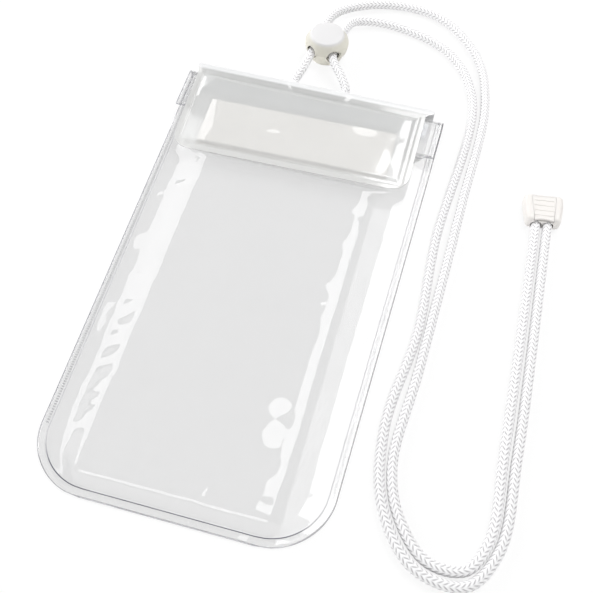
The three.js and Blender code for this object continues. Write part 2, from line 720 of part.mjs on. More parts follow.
const cordLock = turnedGroup(lockPlace);
part('cord_lock_barrel', lockBarrel(), materials.whitePlastic, cordLock);
part('cord_lock_button', lockButton(), materials.whitePlastic, cordLock);
part('cord_lock_spring', lockSpring(), materials.steel, cordLock);
pouch.add(cordLock);

const cordClip = turnedGroup(clipPlace);
part('cord_end_case', clipCase(), materials.whitePlastic, cordClip);
part('cord_end_cover', clipCover(), materials.whitePlastic, cordClip);
pouch.add(cordClip);

export default pouch;
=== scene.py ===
# %% [markdown]
# # A waterproof phone pouch
# The pouch is a bag of clear soft film. Its mouth is pressed shut, folded over to the front and covered by a
# milky flap. A braided neck cord runs through the flap's rolled spine and a cord lock, and ends in a clip.
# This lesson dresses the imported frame. Every size is in metres. X runs across the pouch, Y from its bottom
# edge to its flap, and Z up from the table.

# %% Load the frame
import math

import bmesh
import bpy
from mathutils import Matrix, Vector, noise


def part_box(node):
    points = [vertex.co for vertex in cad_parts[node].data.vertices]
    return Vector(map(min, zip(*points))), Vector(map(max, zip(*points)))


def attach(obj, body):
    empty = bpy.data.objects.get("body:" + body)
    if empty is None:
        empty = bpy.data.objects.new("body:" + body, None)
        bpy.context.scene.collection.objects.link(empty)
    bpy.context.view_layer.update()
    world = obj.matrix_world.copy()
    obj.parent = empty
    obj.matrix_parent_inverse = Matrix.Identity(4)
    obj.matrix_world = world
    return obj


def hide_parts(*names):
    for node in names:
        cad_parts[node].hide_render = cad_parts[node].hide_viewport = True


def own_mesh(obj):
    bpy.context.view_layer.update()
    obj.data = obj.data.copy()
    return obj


MM = 0.001
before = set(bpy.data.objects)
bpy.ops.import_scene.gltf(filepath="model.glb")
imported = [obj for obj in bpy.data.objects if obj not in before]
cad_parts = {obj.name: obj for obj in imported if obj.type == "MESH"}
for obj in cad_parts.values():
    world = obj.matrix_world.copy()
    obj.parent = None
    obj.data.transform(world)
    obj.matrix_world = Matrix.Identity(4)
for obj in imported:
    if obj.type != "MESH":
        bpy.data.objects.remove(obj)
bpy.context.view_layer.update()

# %% [markdown]
# ## The camera
# The pouch was photographed from above and slightly from its right. The camera's place and directions were
# solved from the pouch's straight edges. A matrix with those directions as its columns sets all of them at
# once, which is simpler than turning the camera with angles.

# %% Place the camera
CAMERA_PLACE = Vector((69.828, -202.501, 323.726)) * MM
CAMERA_RIGHT = Vector((0.964186, 0.264864, 0.013871))
CAMERA_UP = Vector((-0.230957, 0.812741, 0.534894))
LENS_MM = 56.873
SENSOR_MM = 36


def place_camera():
    """A camera looks along its own -Z, so its third direction is right crossed with up."""
    data = bpy.data.cameras.new("camera")
    data.lens = LENS_MM
    data.sensor_width = SENSOR_MM
    data.clip_start = 0.01
    camera = bpy.data.objects.new("camera", data)
    right = CAMERA_RIGHT.normalized()
    up = (CAMERA_UP - CAMERA_UP.dot(right) * right).normalized()
    turned = Matrix((right, up, right.cross(up))).transposed().to_4x4()
    camera.matrix_world = Matrix.Translation(CAMERA_PLACE) @ turned
    bpy.context.scene.collection.objects.link(camera)
    bpy.context.scene.camera = camera
    return camera


camera = place_camera()
print("camera looks along", [round(v, 3) for v in -camera.matrix_world.col[2].to_3d()])

# %% [markdown]
# ## Sizes
# The films and the flap are made anew here with finer grids, so they need the sizes that the frame was built
# from. Each has one name.

# %% Sizes of the films and the flap
BODY_LENGTH = 209.4 * MM
BODY_WIDTH = 117.4 * MM
SIDE_FLARE = 0.0193
BOTTOM_CORNER = 24 * MM
FILM = 0.3 * MM
WELD_WIDTH = 3.2 * MM
WELD_GAP = 0.15 * MM
FOLD_RADIUS = 3.1 * MM
FOLDED_LENGTH = 23.5 * MM
ROOM_WIDTH = 74.6 * MM
ROOM_HEIGHT = 8.2 * MM
ROOM_END_GAP = 5.7 * MM
ZIP_ROOM = 1.6 * MM
SHUT_ROOM = 0.3 * MM
SHELF_ROOM = 4.95 * MM
SHOULDER = 2 * MM

FLAP = 0.5 * MM
FLAP_FRONT = 48.4 * MM
FLAP_BACK = 25 * MM
FLAP_LEFT = -56.6 * MM
FLAP_LEFT_TAPER = 2.6 * MM
FLAP_RIGHT = 52.1 * MM
SPINE_LEFT = -57.2 * MM
SPINE_RIGHT = 55.4 * MM
SPINE_RADIUS = 4.4 * MM
FLAP_CORNER = 8 * MM
FLAP_BORDER = 3.4 * MM
BORDER_DROP = 0.8 * MM
WINDOW_RISE = 0.9 * MM
WINDOW_SLOPE = 2.5 * MM
LEFT_SLOPE = 14 * MM
TUCK_WIDTH = 7 * MM
TUCK_LENGTH = 13 * MM
TUCK_HEIGHT = 1.2 * MM
SPINE_SLOPE = 4.5 * MM
FLAP_SKEW = 0.024
SEAT = 0.3 * MM

SPINE_Y = 103 * MM
FOLD_Y = SPINE_Y - 1 * MM - FOLD_RADIUS
BOTTOM_Y = FOLD_Y + FOLD_RADIUS - BODY_LENGTH
BODY_LIFT = FLAP + SEAT
WELD_LEVEL = FILM + WELD_GAP / 2
WELD_RADIUS = FOLD_RADIUS - FILM - WELD_GAP / 2
LOOP_TOP_Y = SPINE_Y - 29.4 * MM
SHELF_Y = LOOP_TOP_Y - 16.6 * MM
ROOM_TOP_Y = SHELF_Y - 7 * MM
RAMP_Y = SPINE_Y - FLAP_BACK - 8 * MM
RAMP_LENGTH = 6 * MM
SHUT_LENGTH = 8 * MM
TAPE_LENGTH = 86 * MM
MOUTH_Y = FOLD_Y + FOLD_RADIUS - FOLDED_LENGTH

# %% [markdown]
# ## Small helpers
# A sheet of film is easiest to make as a flat grid that is then laid where it belongs: every vertex asks a
# function for its place. Blender's own grid operator makes the vertices and faces, and Solidify gives the
# sheet its thickness afterwards.


# %% Helpers for curves and grids
def clamp(value, low=0.0, high=1.0):
    return max(low, min(high, value))


def smooth(value, start, end):
    t = clamp((value - start) / (end - start))
    return t * t * (3 - 2 * t)


def crown(share):
    """A stretched film: steep at its weld and flatter towards its top."""
    u = clamp(share)
    return 1.5 * u - 0.5 * u**3


def drape(share):
    """A film laid over an end: nearly flat beside the weld, then an even slope, then a soft shoulder."""
    def ramp(u, start, end):
        t = clamp(u, start, end)
        return (t - start) ** 2 / (2 * (end - start)) + max(u - end, 0)

    def rise(u):
        return 0.2 * ramp(u, 0, 0.06) + 0.8 * ramp(u, 0.34, 0.44) - ramp(u, 0.88, 1)

    return rise(clamp(share)) / rise(1)


def ripple(x, y, seed):
    """A smooth random height between -1 and 1, which is the same on each run."""
    return noise.noise(Vector((x, y, seed)))


def corner_inset(distance, radius):
    """How far a round corner pulls an edge in."""
    d = clamp(distance, 0, radius)
    return radius - math.sqrt(radius**2 - (radius - d) ** 2)


def stations(start, *spans):
    """Numbers from start through the end of each span, with that many steps in it."""
    values = [start]
    for end, steps in spans:
        first = values[-1]
        values += [first + (end - first) * i / steps for i in range(1, steps + 1)]
    return values


def loose_object(name, bm):
    mesh = bpy.data.meshes.new(name)
    bm.to_mesh(mesh)
    bm.free()
    item = bpy.data.objects.new(name, mesh)
    bpy.context.scene.collection.objects.link(item)
    return item


def new_piece(name, bm, body="pouch"):
    """The bmesh becomes a smooth-shaded object that rides on a body."""
    piece = loose_object(name, bm)
    piece.data.shade_smooth()
    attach(piece, body)
    return piece


def lay(bm, place, angle, axis="Z"):
    """Turns all of the bmesh, then moves it to its place."""
    bmesh.ops.rotate(bm, verts=bm.verts, matrix=Matrix.Rotation(angle, 3, axis))
    bmesh.ops.translate(bm, verts=bm.verts, vec=place)


def push(bm, way):
    """Extrudes the faces and moves the new ones, which closes a flat outline into a solid."""
    pushed = bmesh.ops.extrude_face_region(bm, geom=bm.faces[:])
    moved = [v for v in pushed["geom"] if isinstance(v, bmesh.types.BMVert)]
    bmesh.ops.translate(bm, verts=moved, vec=way)
    bmesh.ops.recalc_face_normals(bm, faces=bm.faces)


def laid_grid(rows, columns, place, **marks):
    """A grid with one vertex for each row and column, each moved to its own place.

    Each mark is a function too, and its values become an attribute that materials can read.
    """
    bm = bmesh.new()
    bm.loops.layers.uv.new("UVMap")
    across, along = len(columns) - 1, len(rows) - 1
    bmesh.ops.create_grid(bm, x_segments=across, y_segments=along, size=1, calc_uvs=True)
    layers = {name: bm.verts.layers.float.new(name) for name in marks}
    for vertex in bm.verts:
        column = columns[round((vertex.co.x + 1) / 2 * across)]
        row = rows[round((vertex.co.y + 1) / 2 * along)]
        vertex.co = place(row, column)
        for name, layer in layers.items():
            vertex[layer] = marks[name](row, column)
    return bm


def thicken(piece, thickness):
    solidify = piece.modifiers.new("thickness", "SOLIDIFY")
    solidify.thickness = thickness
    solidify.offset = 0
    return solidify


SHARP_DEGREES = 50


def bake_modifiers(piece):
    """Modifiers that cut a shape are applied at once, so that later steps see the cut mesh."""
    graph = bpy.context.evaluated_depsgraph_get()
    mesh = bpy.data.meshes.new_from_object(piece.evaluated_get(graph))
    piece.modifiers.clear()
    piece.data = mesh
    mesh.shade_smooth()
    mesh.set_sharp_from_angle(angle=math.radians(SHARP_DEGREES))


print("helpers ready")

# %% [markdown]
# ## Shared shader effects
# Film, plastic and yarn have a fine grain, and the film's weld has a pressed strip. Both effects are node
# groups, built once and placed in each material with its own values. A group gives out only colours, masks
# and values; the shader itself stays in the material.


# %% Node helpers
def new_group(name, inputs, outputs):
    tree = bpy.data.node_groups.new(name, "ShaderNodeTree")
    for label, kind, default in inputs:
        socket = tree.interface.new_socket(label, in_out="INPUT", socket_type=kind)
        socket.default_value = default
    for label, kind in outputs:
        tree.interface.new_socket(label, in_out="OUTPUT", socket_type=kind)
    return tree, tree.nodes.new("NodeGroupInput"), tree.nodes.new("NodeGroupOutput")


def add(tree, kind, **settings):
    node = tree.nodes.new(kind)
    for key, value in settings.items():
        setattr(node, key, value)
    return node


def put(tree, socket, value):
    """Links another node's output to a socket, or else sets the socket's own value."""
    if isinstance(value, bpy.types.NodeSocket):
        tree.links.new(value, socket)
    else:
        socket.default_value = value


def feed(tree, node, **values):
    """Fills inputs by name. An underscore stands for the space in Blender's own name."""
    for name, value in values.items():
        put(tree, node.inputs[name.replace("_", " ")], value)
    return node


def math_node(tree, operation, *values):
    node = add(tree, "ShaderNodeMath", operation=operation)
    for socket, value in zip(node.inputs, values):
        put(tree, socket, value)
    return node.outputs[0]


def times(tree, first, second):
    return math_node(tree, "MULTIPLY", first, second)


def rest_of(tree, share):
    return math_node(tree, "SUBTRACT", 1.0, share)


def mix_colour(tree, factor, first, second):
    node = add(tree, "ShaderNodeMix", data_type="RGBA")
    for socket, value in ((node.inputs[0], factor), (node.inputs[6], first), (node.inputs[7], second)):
        put(tree, socket, value)
    return node.outputs[2]


def noise_on(tree, vector, scale, detail):
    node = add(tree, "ShaderNodeTexNoise")
    return feed(tree, node, Vector=vector, Scale=scale, Detail=detail).outputs["Fac"]


def attribute(tree, name):
    return add(tree, "ShaderNodeAttribute", attribute_name=name).outputs["Fac"]


def object_place(tree):
    return add(tree, "ShaderNodeTexCoord").outputs["Object"]


def past(tree, axis, start, end):
    """A soft mask along one axis of the object: 0 before start and 1 past end."""
    split = feed(tree, add(tree, "ShaderNodeSeparateXYZ"), Vector=object_place(tree))
    fade = add(tree, "ShaderNodeMapRange", interpolation_type="SMOOTHSTEP")
    return feed(tree, fade, Value=split.outputs[axis], From_Min=start, From_Max=end).outputs["Result"]


# %% Grain group
def make_grain_group():
    """Fine mottling in colour and height, for moulded plastic, film and yarn alike."""
    tree, given, out = new_group(
        "grain",
        [
            ("Colour", "NodeSocketColor", (0.8, 0.8, 0.8, 1)),
            ("Shade", "NodeSocketColor", (0.7, 0.7, 0.7, 1)),
            ("Scale", "NodeSocketFloat", 400.0),
            ("Bump", "NodeSocketFloat", 0.2),
        ],
        [("Colour", "NodeSocketColor"), ("Height", "NodeSocketFloat")],
    )
    place = object_place(tree)
    fine = noise_on(tree, place, given.outputs["Scale"], 3.0)
    broad = noise_on(tree, place, 60.0, 2.0)
    colour = mix_colour(tree, times(tree, broad, 0.8), given.outputs["Colour"], given.outputs["Shade"])
    feed(tree, out, Colour=colour, Height=times(tree, fine, given.outputs["Bump"]))
    return tree


# %% Weld group
PRESSED_WIDTH = 2.9 * MM
CUT_WIDTH = 0.45 * MM
KNURL_START = 1.4 * MM
KNURL_END = 2.5 * MM
KNURL_PITCH = 1.1 * MM


def make_weld_group():
    """The weld strip: pressed clearer, with a painted dark line of shade at its cut, and painted shade on a
    row of small ribs from the bar's knurl.
    """
    tree, _, out = new_group("weld_strip", [], [
        ("Alpha", "NodeSocketFloat"), ("Height", "NodeSocketFloat"), ("Dark", "NodeSocketFloat")])
    distance = attribute(tree, "from_edge")
    past_start = math_node(tree, "GREATER_THAN", distance, KNURL_START)
    in_knurl = times(tree, past_start, math_node(tree, "LESS_THAN", distance, KNURL_END))
    wave = math_node(tree, "SINE", times(tree, attribute(tree, "along_edge"), 2 * math.pi / KNURL_PITCH))
    ribs = times(tree, math_node(tree, "GREATER_THAN", wave, 0.0), in_knurl)
    cut = math_node(tree, "LESS_THAN", distance, CUT_WIDTH)
    # Dark is painted shade: a line along the cut, and the ribs of the knurl.
    dark = math_node(tree, "MAXIMUM", cut, times(tree, ribs, 0.8))
    pressed = rest_of(tree, times(tree, math_node(tree, "LESS_THAN", distance, PRESSED_WIDTH), 0.15))
    feed(tree, out, Alpha=math_node(tree, "ADD", pressed, times(tree, dark, 1.2)), Dark=dark, Height=ribs)
    return tree


grain_group = make_grain_group()
weld_group = make_weld_group()
print("groups:", grain_group.name, weld_group.name)

# %% [markdown]
# ## Materials
# The film is clear, but a photographed film mostly shows what it mirrors. A material with little alpha and a
# strong gloss gives both: the table shows through, and the lamps make white patches on the waves. Only faces
# that point outwards are shaded, so that the two sides of one sheet don't count twice.


# %% Material helpers
FILM_GRAIN = 900.0
PLASTIC_GRAIN = 700.0
YARN_GRAIN = 2600.0


def new_material(name):
    material = bpy.data.materials.new(name)
    material.use_nodes = True
    tree = material.node_tree
    return material, tree, tree.nodes["Principled BSDF"]


def grain_in(tree, colour, shade, scale, bump):
    node = add(tree, "ShaderNodeGroup", node_tree=grain_group)
    return feed(tree, node, Colour=(*colour, 1), Shade=(*shade, 1), Scale=scale, Bump=bump)


def bump_from(tree, shader, height, distance, strength=1.0):
    bump = feed(tree, add(tree, "ShaderNodeBump"), Distance=distance, Strength=strength, Height=height)
    feed(tree, shader, Normal=bump.outputs["Normal"])


WELD_SHADE_COLOUR = (0.16, 0.16, 0.19, 1)
BORDER_SHADE_COLOUR = (0.69, 0.69, 0.675, 1)
SPINE_COLOUR = (0.79, 0.795, 0.8, 1)


def film_material(name, colour, shade, clear, edge, roughness, index, welded=False, dense=0.0):
    """See-through film: clear is its alpha seen face on, and edge what the alpha grows by at a glancing view.

    The attributes layered and rolled say where the film lies in several layers, and dense is its alpha there.
    The welded borders also get a darker grey, which is painted shade.
    """
    material, tree, shader = new_material(name)
    grain = grain_in(tree, colour, shade, FILM_GRAIN, 0.3)
    colour = grain.outputs["Colour"]
    facing = feed(tree, add(tree, "ShaderNodeLayerWeight"), Blend=0.35).outputs["Facing"]
    alpha = math_node(tree, "ADD", times(tree, math_node(tree, "POWER", facing, 2.0), edge), clear)
    if dense:
        rolled, layered_and_shaded = attribute(tree, "rolled"), attribute(tree, "layered_and_shaded")
        # The welded borders are mixed to a darker grey: painted shade.
        colour = mix_colour(tree, layered_and_shaded, colour, BORDER_SHADE_COLOUR)
        colour = mix_colour(tree, rolled, colour, SPINE_COLOUR)
        roughness = math_node(tree, "ADD", times(tree, rolled, 0.35), roughness)
        alpha = math_node(tree, "MAXIMUM", alpha, times(tree, layered_and_shaded, dense))
    if welded:
        strip = add(tree, "ShaderNodeGroup", node_tree=weld_group)
        # The cut's dark line and the dark ribs are painted shade.
        colour = mix_colour(tree, strip.outputs["Dark"], colour, WELD_SHADE_COLOUR)
        alpha = times(tree, alpha, strip.outputs["Alpha"])
        bump_from(tree, shader, strip.outputs["Height"], 0.25 * MM, 0.6)
    else:
        bump_from(tree, shader, grain.outputs["Height"], 0.02 * MM, 0.3)
    outside = rest_of(tree, add(tree, "ShaderNodeNewGeometry").outputs["Backfacing"])
    feed(tree, shader, Base_Color=colour, Roughness=roughness, IOR=index, Specular_IOR_Level=1.0,
         Alpha=times(tree, alpha, outside))
    return material


SHADED_SIDES_BELOW = 11.5 * MM
LIT_TOP_ABOVE = 13.3 * MM


def plain_material(name, colour, shade, roughness, scale, bump, metallic=0.0, milky=0.0, side=None):
    """A moulded or drawn finish. Milky is how much light spreads inside it before it comes out again.

    Side is a darker colour for the button's sides, below its flat top: painted shade, as the top and sides
    are one plastic.
    """
    material, tree, shader = new_material(name)
    grain = grain_in(tree, colour, shade, scale, bump)
    colour = grain.outputs["Colour"]
    if side:
        # The sides below the flat top get the darker colour, which is painted shade.
        colour = mix_colour(tree, past(tree, "Z", SHADED_SIDES_BELOW, LIT_TOP_ABOVE), (*side, 1), colour)
    feed(tree, shader, Base_Color=colour, Roughness=roughness, Metallic=metallic, Subsurface_Weight=milky,
         Subsurface_Scale=1.5 * MM, Subsurface_Radius=(1.0, 1.0, 1.0))
    bump_from(tree, shader, grain.outputs["Height"], 0.05 * MM)
    return material


# %% Make the film, plastic and steel materials
clear_film = film_material(
    "clear_film", (0.5, 0.5, 0.505), (0.46, 0.46, 0.47), 0.2, 0.45, 0.02, 1.9, welded=True)
cut_edge = plain_material("cut_edge", (0.42, 0.42, 0.46), (0.36, 0.36, 0.4), 0.15, FILM_GRAIN, 0.1)
milky_film = film_material(
    "milky_film", (0.82, 0.825, 0.815), (0.78, 0.785, 0.775), 0.6, 0.3, 0.07, 1.7, dense=0.92)
zip_film = film_material("zip_film", (0.8, 0.82, 0.86), (0.74, 0.77, 0.82), 0.3, 0.3, 0.15, 1.6)
# The button's side colour is painted shade on its sides.
dome_plastic = plain_material(
    "dome_plastic", (0.73, 0.725, 0.735), (0.7, 0.695, 0.69), 0.5, PLASTIC_GRAIN, 0.4, milky=0.4,
    side=(0.7, 0.68, 0.6))
# The cup is the same plastic as the button, but has a lighter base colour: painted light that makes up for
# the shade under the button.
barrel_plastic = plain_material(
    "barrel_plastic", (0.84, 0.815, 0.72), (0.8, 0.775, 0.68), 0.5, PLASTIC_GRAIN, 0.4, milky=0.4)
clip_plastic = plain_material(
    "clip_plastic", (0.79, 0.765, 0.74), (0.76, 0.735, 0.71), 0.5, PLASTIC_GRAIN, 0.3, milky=0.5)
spring_steel = plain_material("spring_steel", (0.6, 0.6, 0.6), (0.5, 0.5, 0.5), 0.28, FILM_GRAIN, 0.1, 1.0)
print("materials:", len(bpy.data.materials))


# %% Cloth material for the tapes
def tape_material():
    """Woven tape: two crossed wave patterns make the weave, and noise breaks it up like short hooks."""
    material, tree, shader = new_material("tape_weave")
    place = object_place(tree)
    waves = []
    for direction in ("X", "Y"):
        wave = add(tree, "ShaderNodeTexWave", bands_direction=direction)
        feed(tree, wave, Vector=place, Scale=420.0, Distortion=1.5, Detail_Scale=3.0)
        waves.append(wave.outputs["Fac"])
    weave = times(tree, *waves)
    grain = grain_in(tree, (0.97, 0.94, 0.91), (0.94, 0.9, 0.87), 1500.0, 0.5)
    colour = mix_colour(tree, times(tree, weave, 0.35), grain.outputs["Colour"], (0.99, 0.97, 0.95, 1))
    feed(tree, shader, Base_Color=colour, Roughness=0.9, Sheen_Weight=0.3)
    bump_from(tree, shader, math_node(tree, "ADD", weave, grain.outputs["Height"]), 0.15 * MM)
    return material


tape_weave = tape_material()

# %% [markdown]
# ## The two films
# The back film lies flat on the table, climbs onto the flap's back and turns over in the mouth's fold. The
# front film follows it, and bulges over the room for the phone. Around that room the real film is full of
# small waves that start at the weld, so the grid is raised by noise that is stretched across each edge.


# %% The path of the weld
FOLD_START = FOLD_Y - BOTTOM_Y
FOLD_END = FOLD_START + math.pi * WELD_RADIUS
MOUTH_ROW = FOLD_END + FOLD_Y - MOUTH_Y
FOLD_Z = BODY_LIFT + FOLD_RADIUS
WELD_COLUMN = 0.9


def weld_path(row):
    """Place and upward direction of the weld, at a length along the body from its bottom edge."""
    if row <= FOLD_START:
        y = BOTTOM_Y + row
        return y, WELD_LEVEL + BODY_LIFT * smooth(y, RAMP_Y, RAMP_Y + RAMP_LENGTH), 0.0, 1.0
    if row >= FOLD_END:
        return FOLD_Y - (row - FOLD_END), FOLD_Z + WELD_RADIUS, 0.0, -1.0
    angle = (row - FOLD_START) / WELD_RADIUS
    y = FOLD_Y + WELD_RADIUS * math.sin(angle)
    return y, FOLD_Z - WELD_RADIUS * math.cos(angle), -math.sin(angle), math.cos(angle)


def side_at(y):
    return BODY_WIDTH / 2 + SIDE_FLARE * y


def half_widths(row):
    side = side_at(weld_path(row)[0])
    outer = side - corner_inset(row, BOTTOM_CORNER)
    inner_row = max(row - WELD_WIDTH, 0)
    return outer, side - WELD_WIDTH - corner_inset(inner_row, BOTTOM_CORNER - WELD_WIDTH)


def film_x(row, column):
    outer, inner = half_widths(row)
    size = abs(column)
    if size <= WELD_COLUMN:
        reach = inner * size / WELD_COLUMN
    else:
        reach = inner + (outer - inner) * (size - WELD_COLUMN) / (1 - WELD_COLUMN)
    return math.copysign(reach, column)


# %% The room between the films, and its waves
def film_room(row, x):
    shelf_share = smooth(row, ROOM_TOP_Y - BOTTOM_Y, SHELF_Y - BOTTOM_Y)
    shut_from = LOOP_TOP_Y - BOTTOM_Y
    shut_share = smooth(row, shut_from, shut_from + SHUT_LENGTH)
    zip_share = smooth(row, FOLD_START, FOLD_END)
    shelf = SHELF_ROOM - min(weld_path(row)[1] - WELD_LEVEL, BODY_LIFT)
    height = ROOM_HEIGHT + (shelf - ROOM_HEIGHT) * shelf_share
    height += (SHUT_ROOM - shelf) * shut_share + (ZIP_ROOM - SHUT_ROOM) * zip_share
    inner = half_widths(row)[1]
    flat = ROOM_WIDTH / 2 - SHOULDER
    flat += (TAPE_LENGTH / 2 + 2 * MM - flat) * shelf_share
    flat += (side_at(FOLD_Y) - WELD_WIDTH - 2.9 * MM - flat) * shut_share
    side_share = drape((inner - abs(x)) / max(inner - flat, 0.5 * MM))
    return height * side_share * crown((row - WELD_WIDTH) / ROOM_END_GAP)


def puckers(row, x):
    """Small waves of the front film: short ones across its sides and bottom, long ones over the middle."""
    y = BOTTOM_Y + row
    inner = half_widths(row)[1]
    from_side = inner - abs(x)
    from_end = row - WELD_WIDTH
    hand = 3.1 if x > 0 else 9.7
    side = ripple(x / (24 * MM), y / (10 * MM), hand)
    side += 0.35 * ripple(x / (12 * MM), y / (4 * MM), hand + 5)
    end = ripple(x / (9 * MM), y / (22 * MM), 4.4)
    broad = ripple(x / (34 * MM), y / (30 * MM), 1.7)
    side_zone = smooth(from_side, 1 * MM, 7 * MM) * (1 - smooth(from_side, 16 * MM, 34 * MM))
    end_zone = smooth(from_end, 1 * MM, 6 * MM) * (1 - smooth(from_end, 12 * MM, 30 * MM))
    corner = smooth(abs(x), 24 * MM, 42 * MM) * (1 - smooth(row, 22 * MM, 60 * MM))
    wave = (0.55 * MM * side * side_zone + 0.4 * MM * end * end_zone) * (1 + 1.3 * corner)
    wave += 0.5 * MM * broad * smooth(min(from_side, from_end), 6 * MM, 22 * MM)
    return wave * (1 - smooth(row, ROOM_TOP_Y - BOTTOM_Y - 4 * MM, SHELF_Y - BOTTOM_Y - 2 * MM))


def film_place(front):
    half = (WELD_GAP + FILM) / 2

    def place(row, column):
        y, z, normal_y, normal_z = weld_path(row)
        x = film_x(row, column)
        offset = half + film_room(row, x) + puckers(row, x) if front else -half
        return Vector((x, y + normal_y * offset, z + normal_z * offset))

    return place


def from_edge(row, column):
    """Distance from the nearest outer edge, for the weld's own look."""
    outer = half_widths(row)[0]
    return min(outer - abs(film_x(row, column)), row)


def along_edge(row, column):
    """Length along a side, for the knurl's ribs. It is 0 round the bottom, where the bar is smooth."""
    return max(row - BOTTOM_CORNER, 0)


# %% Make the films
def room_rows():
    """Row stations: close together at the bottom shoulder and round the mouth's fold."""
    room_top = ROOM_TOP_Y - BOTTOM_Y
    shelf = SHELF_Y - BOTTOM_Y
    shut = LOOP_TOP_Y - BOTTOM_Y
    return stations(
        0, (WELD_WIDTH, 4), (WELD_WIDTH + ROOM_END_GAP, 10), (BOTTOM_CORNER, 16), (room_top, 110),
        (shelf, 12), (shut, 8), (shut + SHUT_LENGTH, 10), (FOLD_START, 10), (FOLD_END, 24), (MOUTH_ROW, 12),
    )


def room_columns():
    return stations(-1, (-WELD_COLUMN, 4), (-0.6, 22), (0.6, 44), (WELD_COLUMN, 22), (1, 4))


def film_sheet(name, node, front):
    bm = laid_grid(room_rows(), room_columns(), film_place(front), from_edge=from_edge, along_edge=along_edge)
    piece = new_piece(name, bm)
    thicken(piece, FILM).material_offset_rim = 1
    piece.data.materials.append(clear_film)
    piece.data.materials.append(cut_edge)
    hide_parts(node)
    return piece


front_film = film_sheet("front_sheet", "front_film", True)
film_sheet("back_sheet", "back_film", False)
print("front film faces:", len(front_film.data.polygons))

# %% [markdown]
# ## The weld bead
# Where the welding bar pressed, a little film is squeezed out and stands along the inner edge of the weld as
# a fine bead. It catches the light as a dark line with a bright one beside it. A thin round section that is
# swept along the weld's inner edge makes it.


# %% Sweep helper
def swept_tube(points, radius, sides):
    """A round tube along points: a grid that is rolled up round the line, with its seam merged."""
    line = [Vector(p) for p in points]
    last = len(line) - 1
    tangents = [(line[min(i + 1, last)] - line[max(i - 1, 0)]).normalized() for i in range(last + 1)]
    side = tangents[0].orthogonal().normalized()
    frames = []
    for i, tangent in enumerate(tangents):
        if i:
            side = (tangents[i - 1].rotation_difference(tangent) @ side)
        side = (side - side.dot(tangent) * tangent).normalized()
        frames.append((side, tangent.cross(side)))

    def place(row, column):
        angle = 2 * math.pi * column / sides
        across, up = frames[row]
        size = radius(row, column) if callable(radius) else radius
        return line[row] + size * (math.cos(angle) * across + math.sin(angle) * up)

    bm = laid_grid(list(range(len(line))), list(range(sides + 1)), place)
    bmesh.ops.remove_doubles(bm, verts=bm.verts, dist=1e-7)
    bmesh.ops.holes_fill(bm, edges=[e for e in bm.edges if e.is_boundary], sides=sides)
    bmesh.ops.recalc_face_normals(bm, faces=bm.faces)
    return bm


# %% Make the weld bead
BEAD_RADIUS = 0.17 * MM
BEAD_LIFT = WELD_GAP / 2 + FILM + 0.1 * MM
SHADE_START_Y = -88 * MM
SHADE_FULL_Y = -100 * MM


def bead_material():
    """Clear and pale along the sides, and nearly black along the bottom, where it lies in shade."""
    material, tree, shader = new_material("weld_bead")
    grain = grain_in(tree, (0.6, 0.6, 0.62), (0.5, 0.5, 0.53), FILM_GRAIN, 0.1)
    low = past(tree, "Y", SHADE_START_Y, SHADE_FULL_Y)
    colour = mix_colour(tree, low, grain.outputs["Colour"], (0.07, 0.07, 0.11, 1))
    feed(tree, shader, Base_Color=colour, Roughness=0.15)
    return material


def bead_points():
    """The weld's inner edge, from the mouth down one side, round the bottom and up the other."""
    rows = stations(
        WELD_WIDTH, (WELD_WIDTH + 6 * MM, 24), (BOTTOM_CORNER, 16), (FOLD_START, 60), (FOLD_END, 16))
    half = []
    for row in rows:
        y, z, normal_y, normal_z = weld_path(row)
        half.append(Vector((half_widths(row)[1], y + normal_y * BEAD_LIFT, z + normal_z * BEAD_LIFT)))
    start = half[0]
    middle = [Vector((x, start.y, start.z)) for x in stations(-start.x, (start.x, 40))[1:-1]]
    left = [Vector((-p.x, p.y, p.z)) for p in reversed(half)]
    return left + middle + half


bead_line = bead_points()
bead = new_piece("weld_bead", swept_tube(bead_line, BEAD_RADIUS, 8))
bead.data.materials.append(bead_material())
print("bead length:", round(sum((b - a).length for a, b in zip(bead_line, bead_line[1:])), 3), "m")

# %% [markdown]
# ## The flap
# The flap is one milky sheet: a back panel, a rolled spine, and a front panel that is welded in a border all
# round, with a raised window for the hook tape. It is laid as the films are. Two slots for the cord are cut
# through the spine's rear wall with a Boolean, because their shape comes from another solid.

# %% The shape of the flap
SKIN_RADIUS = SPINE_RADIUS - FLAP / 2
FLAP_FRONT_START = FLAP_BACK + math.pi * SKIN_RADIUS
FLAP_END = FLAP_FRONT_START + FLAP_FRONT
BORDER_COLUMN = 0.08
GROOVE_DEPTH = 0.14 * MM
GROOVE_OFFSET = 0.7 * MM
GROOVE_WIDTH = 0.45 * MM


def flap_sides(row):
    on_front = smooth(row, FLAP_FRONT_START, FLAP_FRONT_START + 2.5 * MM)
    share = clamp((row - FLAP_FRONT_START) / FLAP_FRONT)
    left = SPINE_LEFT + (FLAP_LEFT - SPINE_LEFT) * on_front + FLAP_LEFT_TAPER * share
    return left, SPINE_RIGHT + (FLAP_RIGHT - SPINE_RIGHT) * on_front


def flap_x(row, column):
    left, right = flap_sides(row)
    from_end = min(FLAP_END - row, row)
    outer = corner_inset(from_end, FLAP_CORNER)
    inner = FLAP_BORDER + corner_inset(max(from_end - FLAP_BORDER, 0), FLAP_CORNER - FLAP_BORDER)
    if column < BORDER_COLUMN:
        return left + outer + (inner - outer) * column / BORDER_COLUMN
    if column > 1 - BORDER_COLUMN:
        return right - outer - (inner - outer) * (1 - column) / BORDER_COLUMN
    share = (column - BORDER_COLUMN) / (1 - 2 * BORDER_COLUMN)
    return left + inner + (right - left - 2 * inner) * share


